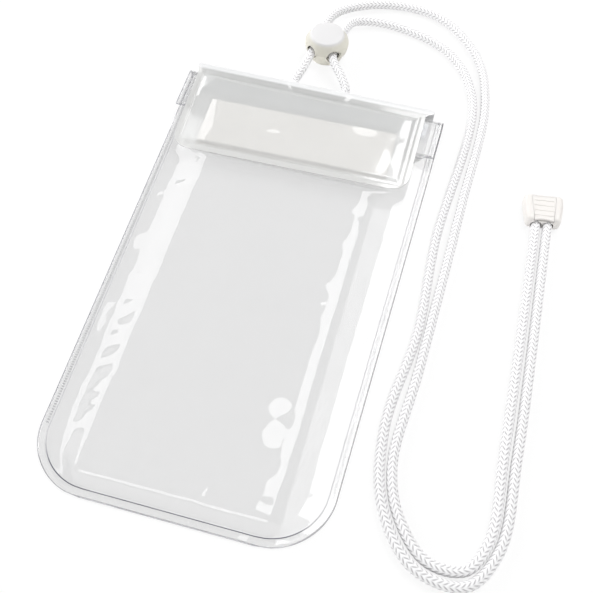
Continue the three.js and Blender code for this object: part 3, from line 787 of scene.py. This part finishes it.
def flap_waves(x, along, inside):
    """The window's slack: long soft waves, and a few short ones at its two ends."""
    broad = ripple(x / (30 * MM), along / (14 * MM), 2.3)
    short = ripple(x / (7 * MM), along / (9 * MM), 6.1)
    ends = smooth(abs(x + 1 * MM), 36 * MM, 46 * MM)
    return smooth(inside, 0.5 * MM, 6 * MM) * (0.25 * MM * broad + 0.22 * MM * short * ends)


def flap_place(row, column):
    x = flap_x(row, column)
    if row <= FLAP_BACK:
        return Vector((x, SPINE_Y - FLAP_BACK + row, FLAP / 2))
    if row < FLAP_FRONT_START:
        angle = (row - FLAP_BACK) / SKIN_RADIUS
        y = SPINE_Y + SKIN_RADIUS * math.sin(angle)
        return Vector((x, y, SPINE_RADIUS - SKIN_RADIUS * math.cos(angle)))
    along = row - FLAP_FRONT_START
    left, right = flap_sides(row)
    from_left = x - left - FLAP_BORDER
    inside = min(from_left, right - x - FLAP_BORDER, FLAP_END - row - FLAP_BORDER, along - SPINE_SLOPE)
    rise = WINDOW_RISE * smooth(min(inside, WINDOW_SLOPE), 0, WINDOW_SLOPE) * smooth(from_left, 0, LEFT_SLOPE)
    from_corner = from_left / TUCK_WIDTH + (along - SPINE_SLOPE) / TUCK_LENGTH
    ridge = from_corner if from_corner < 1 else math.exp(-1.2 * (from_corner - 1))
    rise += TUCK_HEIGHT * ridge * smooth(inside, 0, 1.5 * MM) * (
        1 - smooth(along - SPINE_SLOPE, TUCK_LENGTH * 0.6, TUCK_LENGTH * 1.2))
    drop = BORDER_DROP * smooth(along, 0, SPINE_SLOPE)
    groove = GROOVE_DEPTH * math.exp(-(((inside + GROOVE_OFFSET) / GROOVE_WIDTH) ** 2))
    skew = FLAP_SKEW * x * smooth(along, 0, FLAP_FRONT)
    z = SPINE_RADIUS + SKIN_RADIUS - drop + rise - groove + flap_waves(x, along, inside)
    return Vector((x, SPINE_Y - along + skew, z))


def mark_layers(piece):
    """Marks the rolled spine and the welded borders, where the real film lies in several layers. The border
    mark also carries a painted shade.
    """
    spine = piece.data.attributes.new("rolled", "FLOAT", "POINT")
    layers = piece.data.attributes.new("layered_and_shaded", "FLOAT", "POINT")
    for i, vertex in enumerate(piece.data.vertices):
        x, y, _ = vertex.co
        in_spine = smooth(y, SPINE_Y - 2.5 * MM, SPINE_Y - 0.5 * MM)
        taper = FLAP_LEFT_TAPER * clamp((SPINE_Y - y) / FLAP_FRONT)
        from_edge = min(x - FLAP_LEFT - taper, FLAP_RIGHT - x, y - SPINE_Y + FLAP_FRONT)
        in_border = 1 - smooth(from_edge, FLAP_BORDER - 0.2 * MM, FLAP_BORDER + 0.5 * MM)
        spine.data[i].value = in_spine
        layers.data[i].value = max(in_spine, 0.7 * in_border)


# %% Make the flap and cut its slots
SLOT_CENTRES = (-10 * MM, 11.3 * MM)
SLOT_LENGTH = 10 * MM
SLOT_HEIGHT = 5 * MM
SLOT_Z = 4.3 * MM


def oval_cutter(place, radius, stretch, length):
    """An oval bar along Y: a circle that is pulled apart, laid upright and pushed."""
    bm = bmesh.new()
    made = bmesh.ops.create_circle(bm, cap_ends=True, radius=radius, segments=32)
    across, up = stretch
    for vertex in made["verts"]:
        vertex.co.x += math.copysign(across, vertex.co.x)
        vertex.co.y += math.copysign(up, vertex.co.y)
    lay(bm, place, math.pi / 2, "X")
    push(bm, (0, length, 0))
    return loose_object("cutter", bm)


def slot_cutter(x):
    """A bar through the rear wall of the spine."""
    place = (x, SPINE_Y + SPINE_RADIUS / 2, SLOT_Z)
    return oval_cutter(place, SLOT_HEIGHT / 2, ((SLOT_LENGTH - SLOT_HEIGHT) / 2, 0), SPINE_RADIUS)


def cut_with(piece, cutters):
    for cutter in cutters:
        boolean = piece.modifiers.new("cut", "BOOLEAN")
        boolean.operation = "DIFFERENCE"
        boolean.object = cutter
        boolean.solver = "EXACT"
    bake_modifiers(piece)
    for cutter in cutters:
        bpy.data.objects.remove(cutter)


flap_rows = stations(
    0, (FLAP_CORNER, 12), (FLAP_BACK, 6), (FLAP_FRONT_START, 36), (FLAP_FRONT_START + SPINE_SLOPE, 14),
    (FLAP_FRONT_START + SPINE_SLOPE + WINDOW_SLOPE, 8), (FLAP_END - FLAP_CORNER, 40),
    (FLAP_END - FLAP_BORDER, 14), (FLAP_END, 12),
)
window_column = BORDER_COLUMN + WINDOW_SLOPE / (FLAP_RIGHT - FLAP_LEFT)
flap_columns = stations(
    0, (BORDER_COLUMN, 12), (window_column, 8), (1 - window_column, 90), (1 - BORDER_COLUMN, 8), (1, 12))
flap = new_piece("milky_flap", laid_grid(flap_rows, flap_columns, flap_place))
thicken(flap, FLAP)
cut_with(flap, [slot_cutter(x) for x in SLOT_CENTRES])
mark_layers(flap)
flap.data.materials.append(milky_film)
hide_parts("flap")
print("flap faces:", len(flap.data.polygons))

# %% [markdown]
# ## The hook and loop tapes
# Each tape is a woven strip that was cut to length, so its two short ends are a little ragged and its long
# edges are clean. The strip is a grid whose end stations are moved in and out a little at random. It takes
# most of the tape's height, and a row of stitches along each short end stands on it.

# %% Make the tapes
TAPE_TURN = math.atan(FLAP_SKEW)
TAPE_BODY = 0.94
TAPE_RAGGED = 0.7 * MM


def tape_piece(name, node, seed):
    """A ragged-ended strip in the place and size of the frame's tape."""
    low, high = (Vector(corner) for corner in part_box(node))
    centre = (low + high) / 2
    width = (high.y - low.y) - TAPE_LENGTH * math.sin(TAPE_TURN)
    thick = high.z - low.z

    def place(row, column):
        ragged = ripple(column * 0.3, row / (0.9 * MM), seed) * TAPE_RAGGED
        ends = smooth(abs(column), TAPE_LENGTH / 2 - 1.2 * MM, TAPE_LENGTH / 2)
        return Vector((column + math.copysign(ragged * ends, column), row, 0))

    rows = stations(-width / 2, (width / 2, 44))
    columns = stations(-TAPE_LENGTH / 2, (-TAPE_LENGTH / 2 + 2 * MM, 6), (TAPE_LENGTH / 2 - 2 * MM, 60),
                       (TAPE_LENGTH / 2, 6))
    bm = laid_grid(rows, columns, place)
    lay(bm, centre, TAPE_TURN)
    piece = new_piece(name, bm)
    thicken(piece, thick * TAPE_BODY)
    piece.data.materials.append(tape_weave)
    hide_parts(node)
    return centre, width


hook_centre, hook_width = tape_piece("hook_strip", "hook_tape", 1.0)
loop_centre, loop_width = tape_piece("loop_strip", "loop_tape", 2.0)
print("hook tape width:", round(hook_width / MM, 2), "mm")


# %% Stitch the tapes' short ends
STITCH_PITCH = 1.45 * MM
STITCH_LENGTH = 1.1 * MM
STITCH_WIDTH = 0.4 * MM


def stitch_rows(name, centre, width, height):
    """A row of short thread loops along each short end: flattened balls, laid end to end."""
    bm = bmesh.new()
    count = round((width - 2 * MM) / STITCH_PITCH)
    shape = Matrix.Diagonal((STITCH_WIDTH / 2, STITCH_LENGTH / 2, 0.12 * MM, 1))
    for end in (-1, 1):
        for i in range(count):
            x = end * (TAPE_LENGTH / 2 - 2.2 * MM) + 0.12 * MM * ripple(i, end, 0.5)
            place = Matrix.Translation((x, (i - (count - 1) / 2) * STITCH_PITCH, height))
            slant = Matrix.Rotation(math.radians(12), 4, "Z")
            bmesh.ops.create_icosphere(bm, subdivisions=1, radius=1, matrix=place @ slant @ shape)
    lay(bm, centre, TAPE_TURN)
    piece = new_piece(name, bm)
    piece.data.materials.append(thread)
    return piece


thread = plain_material("thread", (0.95, 0.95, 0.945), (0.9, 0.9, 0.895), 0.7, YARN_GRAIN, 0.4)
hook_high, loop_high = (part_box(node)[1][2] for node in ("hook_tape", "loop_tape"))
hook_stitches = stitch_rows("hook_stitches", hook_centre, hook_width, hook_high - hook_centre.z)
stitch_rows("loop_stitches", loop_centre, loop_width, loop_high - loop_centre.z)
print("stitch faces:", len(hook_stitches.data.polygons))

# %% [markdown]
# ## The neck cord
# The cord is braided from sixteen yarns, eight each way, each over two and under two. It is one soft line of
# known length that lies on the table, so its route is a given list of points and a smooth curve through
# them. The braid is real relief: each ring of the tube asks a small function how high the yarn stands there.

# %% The route of the cord
CORD = 4.2 * MM
CORD_POINTS_MM = [
    (108.6, 66.2, 3.1), (109.4, 50, 2.8), (112, -50, 2.2), (112, -84.5, 2.2), (105.4, -96.8, 2.2),
    (92, -97.2, 2.2), (79.6, -84.5, 2.2), (73.2, -66, 2.2), (74.8, -25, 2.2), (76.8, 60, 2.2),
    (77, 122, 2.2), (67.6, 152.6, 2.2), (45, 174.4, 2.2), (18, 176, 2.4), (-3, 163, 4),
    (-7.6, 147, 6.6), (-8.7, 129, 6.8), (-10.7, 117, 5.2), (-12.1, 109.5, 4.3), (-10.7, 106.2, 4.3),
    (-7.1, 104.8, 4.3), (8.2, 104.8, 4.3), (11.5, 106.5, 4.3), (12.4, 110.2, 4.4), (8.6, 117.2, 5.5),
    (1.6, 127.8, 6.7), (2.4, 146, 6.4), (6, 157.8, 3.8), (24, 162, 2.3), (54, 151.2, 2.2),
    (70.8, 123, 2.2), (69.3, 38, 2.2), (70.9, -8, 2.2), (67.2, -52, 2.2), (72.8, -81.5, 2.2),
    (88, -100.6, 2.2), (106.5, -102.2, 2.2), (115.9, -87, 2.2), (116.9, -50, 2.2), (113.7, 67, 3.1),
]
RING_SPACING = 0.46 * MM


def smooth_route(points, steps):
    """A centripetal Catmull-Rom curve through the points, which never loops between close ones."""
    line = [points[0] * 2 - points[1], *points, points[-1] * 2 - points[-2]]
    route = []
    for before, start, end, after in zip(line, line[1:], line[2:], line[3:]):
        gaps = [max((b - a).length ** 0.5, 1e-6) for a, b in ((before, start), (start, end), (end, after))]
        leave = (start - before) / gaps[0] - (end - before) / (gaps[0] + gaps[1]) + (end - start) / gaps[1]
        arrive = (end - start) / gaps[1] - (after - start) / (gaps[1] + gaps[2]) + (after - end) / gaps[2]
        for i in range(steps):
            t = i / steps
            route.append(
                (2 * t**3 - 3 * t**2 + 1) * start + (t**3 - 2 * t**2 + t) * gaps[1] * leave
                + (3 * t**2 - 2 * t**3) * end + (t**3 - t**2) * gaps[1] * arrive)
    return [*route, points[-1]]


def even_steps(line, spacing):
    """The same line with points at equal lengths along it."""
    lengths = [0.0]
    for a, b in zip(line, line[1:]):
        lengths.append(lengths[-1] + (b - a).length)
    count = round(lengths[-1] / spacing)
    result, j = [], 0
    for i in range(count + 1):
        wanted = lengths[-1] * i / count
        while j < len(line) - 2 and lengths[j + 1] < wanted:
            j += 1
        share = (wanted - lengths[j]) / (lengths[j + 1] - lengths[j])
        result.append(line[j].lerp(line[j + 1], clamp(share)))
    return result, lengths[-1]


cord_route, cord_length = even_steps(
    smooth_route([Vector(p) * MM for p in CORD_POINTS_MM], 40), RING_SPACING)
print("cord length:", round(cord_length, 4), "m in", len(cord_route), "rings")

# %% The braid
CORD_SIDES = 32
YARNS_EACH_WAY = 8
YARN_PITCH = 2.0 * MM
YARN_RELIEF = 0.27 * MM


def braid_height(row, column):
    """Height of the yarn surface, from 0 in a gap to 1 on a crown.

    The braid shows eight upright columns. Yarns of one slant lie on top in every other column, and yarns of
    the other slant in those between.
    """
    around = YARNS_EACH_WAY * column / CORD_SIDES
    along = row * RING_SPACING / YARN_PITCH
    lead = around + along if math.floor(around) % 2 else around - along
    across_yarn = 1 - abs(2 * (lead % 1) - 1) ** 2.2
    across_column = 1 - 0.5 * abs(2 * (around % 1) - 1) ** 3
    return across_yarn * across_column


def cord_radius(row, column):
    return CORD / 2 - YARN_RELIEF * (1 - braid_height(row, column))


cord = new_piece("braided_cord", swept_tube(cord_route, cord_radius, CORD_SIDES))
print("cord faces:", len(cord.data.polygons))


# %% Cord material
def cord_material():
    """White polyester yarn, bright on its crowns, with painted grey shade in its gaps. The grid's UVs place
    the same braid.
    """
    material, tree, shader = new_material("braid_yarn")
    split = feed(tree, add(tree, "ShaderNodeSeparateXYZ"), Vector=add(tree, "ShaderNodeUVMap").outputs["UV"])
    around = times(tree, split.outputs["X"], float(YARNS_EACH_WAY))
    along = times(tree, split.outputs["Y"], cord_length / YARN_PITCH)
    odd = math_node(tree, "FLOORED_MODULO", math_node(tree, "FLOOR", around), 2.0)
    slant = times(tree, along, math_node(tree, "SUBTRACT", times(tree, odd, 2.0), 1.0))

    def off_middle(value, power):
        doubled = times(tree, math_node(tree, "FRACT", value), 2.0)
        off = math_node(tree, "ABSOLUTE", math_node(tree, "SUBTRACT", doubled, 1.0))
        return math_node(tree, "POWER", off, power)

    between_yarns = off_middle(math_node(tree, "ADD", around, slant), 2.2)
    # The grey in the gaps between the yarns is painted shade.
    gap = times(tree, between_yarns, rest_of(tree, off_middle(around, 3.5)))
    grain = grain_in(tree, (0.93, 0.93, 0.935), (0.9, 0.9, 0.905), YARN_GRAIN, 0.6)
    colour = mix_colour(tree, gap, grain.outputs["Colour"], (0.36, 0.345, 0.36, 1))
    feed(tree, shader, Base_Color=colour, Roughness=0.75, Sheen_Weight=0.25)
    bump_from(tree, shader, grain.outputs["Height"], 0.06 * MM)
    return material


cord.data.materials.append(cord_material())
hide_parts("neck_cord")

# %% [markdown]
# ## The cord lock
# The lock is a cup that stands on the table and a domed button that slides down over it. Both are turned
# parts: a profile is spun round the upright axis. The holes for the cords are cut through them both.

# %% Lock sizes
LOCK_PLACE = Vector((-3.3, 135.7, 0)) * MM
LOCK_TURN = math.radians(-4)
LOCK_CORDS = 5 * MM
LOCK_CORD_Z = 6.8 * MM
BUTTON_TRAVEL = 1.2 * MM
BUTTON_RADIUS = 10.5 * MM
BUTTON_TOP = 13.8 * MM
BUTTON_WIDEST = 8.6 * MM
SKIRT_BOTTOM = 4.4 * MM
SKIRT_FOOT = 9.9 * MM
SKIRT_INNER = BUTTON_RADIUS - 1.2 * MM
CROWN_BOTTOM = BUTTON_TOP - 1.9 * MM
BARREL_RADIUS = SKIRT_INNER - 0.3 * MM
BARREL_INNER = BARREL_RADIUS - 0.9 * MM
BARREL_TOP = 10.2 * MM
BARREL_FLOOR = 1.5 * MM
BARREL_FOOT = 8 * MM
STEM_RADIUS = BARREL_INNER - 0.3 * MM
CORD_TOP = LOCK_CORD_Z + CORD / 2 + 0.3 * MM
CORD_BOTTOM = LOCK_CORD_Z - CORD / 2 - 0.3 * MM
HOLE_RADIUS = CORD / 2 + 0.6 * MM
ARCH_RADIUS = CORD / 2 + 0.35 * MM
ARCH_TOP = CORD_TOP + BUTTON_TRAVEL - 0.1 * MM
DISC_EDGE = 8.35 * MM
DISC_DOME = 0.5 * MM
EDGE_ROUND = 1.3 * MM
BRIDGE_BOTTOM = 7.6 * MM
LEANING_CORD = LOCK_CORDS + 1.1 * MM
LEANING_RADIUS = CORD / 2 + 0.65 * MM
LEANING_END = -6 * MM


# %% Turned solids and cutters
def spun(profile, steps=96):
    """A closed solid of revolution from a profile of radius and height."""
    bm = bmesh.new()
    verts = [bm.verts.new((r, 0, z)) for r, z in profile]
    edges = [bm.edges.new(pair) for pair in zip(verts, verts[1:])]
    bmesh.ops.spin(bm, geom=verts + edges, cent=(0, 0, 0), axis=(0, 0, 1), angle=2 * math.pi, steps=steps,
                   use_merge=True)
    bmesh.ops.remove_doubles(bm, verts=bm.verts, dist=1e-7)
    bmesh.ops.recalc_face_normals(bm, faces=bm.faces)
    return bm


def bar_cutter(x, bottom, top, radius, start=-2 * BUTTON_RADIUS, end=2 * BUTTON_RADIUS):
    """An upright oval bar along Y from start to end, for a cord hole."""
    reach = (top - bottom) / 2 - radius
    return oval_cutter((x, start, (top + bottom) / 2), radius, (0, reach), end - start)


def box_cutter(width, depth, bottom, top):
    bm = bmesh.new()
    size = Matrix.Diagonal((width, depth, top - bottom, 1))
    bmesh.ops.create_cube(bm, size=1, matrix=Matrix.Translation((0, 0, (top + bottom) / 2)) @ size)
    return loose_object("cutter", bm)


def fit_part(piece, place, turn, material, node=None):
    """Turns and moves the mesh itself, so that the object stays at the origin, and gives it its finish."""
    piece.data.transform(Matrix.Translation(place) @ Matrix.Rotation(turn, 4, "Z"))
    piece.data.materials.append(material)
    if node:
        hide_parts(node)
    return piece


def soften(piece, width, angle=35, segments=2):
    bevel = piece.modifiers.new("edges", "BEVEL")
    bevel.width = width
    bevel.segments = segments
    bevel.limit_method = "ANGLE"
    bevel.angle_limit = math.radians(angle)


# %% Make the barrel
def lock_barrel():
    """A cup on a small foot, with a bevelled lip that the button's crown can come down over."""
    low = CORD_BOTTOM - BUTTON_TRAVEL
    piece = new_piece("lock_cup", spun([
        (0, 0), (BARREL_FOOT - 0.6 * MM, 0), (BARREL_FOOT - 0.15 * MM, 0.15 * MM), (BARREL_FOOT, 0.6 * MM),
        (BARREL_RADIUS, 3.4 * MM), (BARREL_RADIUS, BARREL_TOP - 1.3 * MM),
        (BARREL_INNER + 0.35 * MM, BARREL_TOP), (BARREL_INNER, BARREL_TOP), (BARREL_INNER, BARREL_FLOOR),
        (0, BARREL_FLOOR),
    ]))
    cutters = [bar_cutter(x, low, CORD_TOP, HOLE_RADIUS) for x in (-LOCK_CORDS, LOCK_CORDS)]
    cutters.append(bar_cutter(LEANING_CORD, low, CORD_TOP, HOLE_RADIUS, end=LEANING_END))
    cut_with(piece, cutters)
    soften(piece, 0.15 * MM)
    return fit_part(piece, LOCK_PLACE, LOCK_TURN, barrel_plastic, "cord_lock_barrel")


barrel = lock_barrel()


# %% Make the button
def crown_profile():
    """The button's outside from its widest part up: a cone, a round edge, and a slightly domed disc."""
    cone = [(BUTTON_RADIUS - inset * MM, BUTTON_WIDEST + up * MM)
            for inset, up in ((0.2, -2.4), (0, -1), (0.08, 0), (0.4, 1), (1.05, 2.1))]
    low = BUTTON_TOP - DISC_DOME
    turns = [math.pi / 2 * i / 10 for i in range(5, 11)]
    edge = [(DISC_EDGE - EDGE_ROUND * (1 - math.cos(a)), low - EDGE_ROUND * (1 - math.sin(a))) for a in turns]
    start = edge[-1][0]
    disc = [(start * (1 - i / 8), low + DISC_DOME * (1 - (1 - i / 8) ** 2)) for i in range(1, 8)]
    return [*cone, *edge, *disc, (0, BUTTON_TOP)]


def lock_button():
    """A hollow crown with a skirt. Its arches leave room for the cords, also when it is pressed."""
    shell = spun([
        (0, CROWN_BOTTOM), (SKIRT_INNER - 1.3 * MM, CROWN_BOTTOM),
        (SKIRT_INNER - 0.68 * MM, CROWN_BOTTOM - 0.4 * MM), (SKIRT_INNER, CROWN_BOTTOM - 1.9 * MM),
        (SKIRT_INNER, SKIRT_BOTTOM), (SKIRT_FOOT, SKIRT_BOTTOM), *crown_profile(),
    ])
    piece = new_piece("lock_dome", shell, body="lock_button")
    low = SKIRT_BOTTOM - BUTTON_RADIUS
    cut_with(piece, [
        bar_cutter(-LOCK_CORDS, low, ARCH_TOP, ARCH_RADIUS),
        bar_cutter(LOCK_CORDS, low, ARCH_TOP, ARCH_RADIUS, start=0),
        bar_cutter(LEANING_CORD, low, ARCH_TOP, LEANING_RADIUS, end=0),
        box_cutter(2 * LOCK_CORDS, 3 * BUTTON_RADIUS, -BUTTON_TOP, BRIDGE_BOTTOM),
    ])
    soften(piece, 0.15 * MM, 45)
    return fit_part(piece, LOCK_PLACE, LOCK_TURN, dome_plastic, "cord_lock_button")


def lock_stem():
    """The stem inside the cup, whose slot grips the cords when the spring pushes it up."""
    piece = new_piece("lock_stem", spun([
        (0, CORD_BOTTOM - 1 * MM), (STEM_RADIUS, CORD_BOTTOM - 1 * MM), (STEM_RADIUS, CROWN_BOTTOM),
        (0, CROWN_BOTTOM)], 64), body="lock_button")
    slot = 2 * LOCK_CORDS + 2 * HOLE_RADIUS
    cut_with(piece, [box_cutter(slot, 3 * BUTTON_RADIUS, CORD_BOTTOM, CORD_TOP + BUTTON_TRAVEL)])
    return fit_part(piece, LOCK_PLACE, LOCK_TURN, dome_plastic)


button = lock_button()
stem = lock_stem()
print("button faces:", len(button.data.polygons))

# %% [markdown]
# ## The cord end clip
# The clip is a small moulded case with two rounded columns, and a ribbed cover pressed in between them. Both
# cord ends sit in its pocket. The case is an outline that is pushed up and softened; the ribs are cut into
# the cover with a row of small wedges.

# %% Clip sizes
CLIP_PLACE = Vector((112.1, 57.7, 0)) * MM
CLIP_TURN = math.radians(8)
CLIP_LENGTH = 14.6 * MM
CLIP_TOP_WIDTH = 16.9 * MM
CLIP_MOUTH_WIDTH = 14.4 * MM
CLIP_COLUMN = 3.2 * MM
CLIP_CORDS = 2.8 * MM
CLIP_MOUTHS = (-3.05 * MM, 2.05 * MM)
CLIP_LIP = 1.2 * MM
CLIP_SHOULDER = 0.62 * CLIP_LENGTH
POCKET_LENGTH = 9.8 * MM
MOUTH_REACH = 3 * MM
CLIP_FLOOR = 0.7 * MM
CLIP_POCKET_TOP = CLIP_FLOOR + CORD + 0.6 * MM
COVER_THICKNESS = 1.3 * MM
CLIP_HEIGHT = CLIP_POCKET_TOP + 1.4 * MM
CLIP_TAPER = (CLIP_TOP_WIDTH - CLIP_MOUTH_WIDTH) / 2 / CLIP_LENGTH
COVER_HALF = CLIP_MOUTH_WIDTH / 2 - CLIP_COLUMN
COVER_RIBS = 4
COVER_GAP = 0.04 * MM
COVER_SET_BACK = 0.4 * MM
COVER_ARCH = 0.6 * MM
RIB_START = 2.7 * MM
RIB_PITCH = 2.65 * MM
RIB_DEPTH = 0.24 * MM


def pushed_outline(points, bottom, top):
    """A flat outline, pushed up into a prism."""
    bm = bmesh.new()
    bm.faces.new([bm.verts.new((x, y, bottom)) for x, y in points])
    push(bm, (0, 0, top - bottom))
    return bm


# %% Make the clip's case
def clip_case():
    half_mouth, half_top = CLIP_MOUTH_WIDTH / 2, CLIP_TOP_WIDTH / 2
    piece = new_piece("clip_case", pushed_outline(
        [(-half_mouth, 0), (half_mouth, 0), (half_top, CLIP_SHOULDER), (half_top, CLIP_LENGTH),
         (-half_top, CLIP_LENGTH), (-half_top, CLIP_SHOULDER)], 0, CLIP_HEIGHT))
    soften(piece, 2 * MM, 20, 6)
    bake_modifiers(piece)
    end = CLIP_LENGTH - CLIP_COLUMN / 2
    half_start = COVER_HALF + COVER_GAP
    half_end = half_start + CLIP_TAPER * CLIP_LENGTH
    window = loose_object("cutter", pushed_outline(
        [(-half_start, -1 * MM), (half_start, -1 * MM), (half_end, end), (-half_end, end)],
        CLIP_POCKET_TOP - 0.1 * MM, 2 * CLIP_HEIGHT))
    across = 2 * CLIP_CORDS + CORD + 0.6 * MM
    pocket = box_cutter(across, POCKET_LENGTH, CLIP_FLOOR, CLIP_POCKET_TOP + 0.5 * MM)
    pocket.data.transform(Matrix.Translation((0, CLIP_LIP + POCKET_LENGTH / 2, 0)))
    mouths = [bar_cutter(x, CLIP_FLOOR, CLIP_POCKET_TOP, CORD / 2 + 0.3 * MM, -MOUTH_REACH, MOUTH_REACH)
              for x in CLIP_MOUTHS]
    cut_with(piece, [window, pocket, *mouths])
    soften(piece, 0.2 * MM, 40, 2)
    return fit_part(piece, CLIP_PLACE, CLIP_TURN, clip_plastic, "cord_end_case")


# %% Make the clip's ribbed cover
def clip_cover():
    end = CLIP_LENGTH - CLIP_COLUMN / 2 - COVER_GAP
    half_end = COVER_HALF + CLIP_TAPER * CLIP_LENGTH
    arch = [(COVER_HALF * x, COVER_SET_BACK + COVER_ARCH * (1 - x * x)) for x in stations(-1, (1, 12))]
    top = CLIP_POCKET_TOP + COVER_THICKNESS
    piece = new_piece("clip_cover", pushed_outline([*arch, (half_end, end), (-half_end, end)],
                                                   CLIP_POCKET_TOP, top))
    cutters = []
    for i in range(COVER_RIBS):
        bm = bmesh.new()
        bmesh.ops.create_cone(bm, cap_ends=True, segments=4, radius1=RIB_DEPTH, radius2=RIB_DEPTH,
                              depth=2 * half_end - 2 * MM)
        lay(bm, (0, RIB_START + RIB_PITCH * i, top), math.pi / 2, "Y")
        cutters.append(loose_object("cutter", bm))
    cut_with(piece, cutters)
    soften(piece, 0.1 * MM, 40, 2)
    return fit_part(piece, CLIP_PLACE, CLIP_TURN, clip_plastic, "cord_end_cover")


case = clip_case()
cover = clip_cover()
print("clip faces:", len(case.data.polygons) + len(cover.data.polygons))

# %% [markdown]
# ## Pieces that stay as the frame has them
# The zip's two strips and the lock's spring have their true shape in the frame already. They only get a
# finish, and the spring gets a mesh of its own.

# %% Finish the frame's own pieces
for node, material in (("zip_channel_strip", zip_film), ("zip_rib_strip", zip_film),
                       ("cord_lock_spring", spring_steel)):
    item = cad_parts[node]
    item.data.materials.clear()
    item.data.materials.append(material)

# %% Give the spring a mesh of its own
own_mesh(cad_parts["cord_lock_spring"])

# %% [markdown]
# Both of the cord's ends sit in the clip, and the cord runs through the lock.

# %% [markdown]
# ## Light and floor
# The photo has a white table and very soft light. The film mostly shows what it mirrors: a wide lamp overhead
# on the right and a standing one on the left make its white patches. A long low lamp in front fills the sides
# of the lock and the clip. The floor shows white to the camera, and still takes a soft shadow.


# %% Floor, world and lamps
FLOOR_DROP = 0.05 * MM
FLOOR_GLOW = 0.86
WORLD_LIGHT = 0.22


def make_floor():
    """Mostly a plain white glow where it is seen, and a matt surface for the light that the object gets."""
    bm = bmesh.new()
    bmesh.ops.create_grid(bm, x_segments=1, y_segments=1, size=4)
    bmesh.ops.translate(bm, verts=bm.verts, vec=(0, 0, -FLOOR_DROP))
    floor = loose_object("floor", bm)
    material, tree, shader = new_material("floor_white")
    feed(tree, shader, Base_Color=(0.95, 0.95, 0.95, 1), Roughness=1.0, Specular_IOR_Level=0.0)
    glow = feed(tree, add(tree, "ShaderNodeEmission"), Color=(1, 1, 1, 1), Strength=1.0)
    path = add(tree, "ShaderNodeLightPath")
    seen = math_node(tree, "MAXIMUM", path.outputs["Is Camera Ray"], path.outputs["Is Glossy Ray"])
    mix = add(tree, "ShaderNodeMixShader")
    for socket, value in zip(mix.inputs, (times(tree, seen, FLOOR_GLOW), shader.outputs[0], glow.outputs[0])):
        put(tree, socket, value)
    feed(tree, tree.nodes["Material Output"], Surface=mix.outputs[0])
    floor.data.materials.append(material)


def make_world():
    """White where the camera sees it, and dim where it only lights the object."""
    world = bpy.data.worlds.new("studio")
    world.use_nodes = True
    tree = world.node_tree
    seen = add(tree, "ShaderNodeLightPath").outputs["Is Camera Ray"]
    strength = math_node(tree, "ADD", times(tree, seen, 1 - WORLD_LIGHT), WORLD_LIGHT)
    feed(tree, tree.nodes["Background"], Color=(1, 1, 1, 1), Strength=strength)
    bpy.context.scene.world = world


def add_lamp(name, place, target, size, power):
    data = bpy.data.lights.new(name, "AREA")
    data.shape = "RECTANGLE"
    data.size, data.size_y = size
    data.energy = power
    lamp = bpy.data.objects.new(name, data)
    lamp.matrix_world = Matrix.Translation(place) @ (
        (Vector(place) - Vector(target)).to_track_quat("Z", "Y").to_matrix().to_4x4())
    bpy.context.scene.collection.objects.link(lamp)


make_floor()
make_world()
add_lamp("right_softbox", (0.64, 0.775, 1.2), (0.64, 0.775, 0), (1.42, 1.25), 23)
add_lamp("front_softbox", (0.15, -1.3, 0.45), (0.02, 0.05, 0), (1.4, 0.5), 8)
add_lamp("left_softbox", (-1.0, 0.6, 0.6), (0, 0.6, 0.6), (1.6, 1.14), 17.5)
scene = bpy.context.scene
scene.view_settings.view_transform = "Standard"
scene.cycles.transparent_max_bounces = 48
print("lamps:", len(bpy.data.lights))
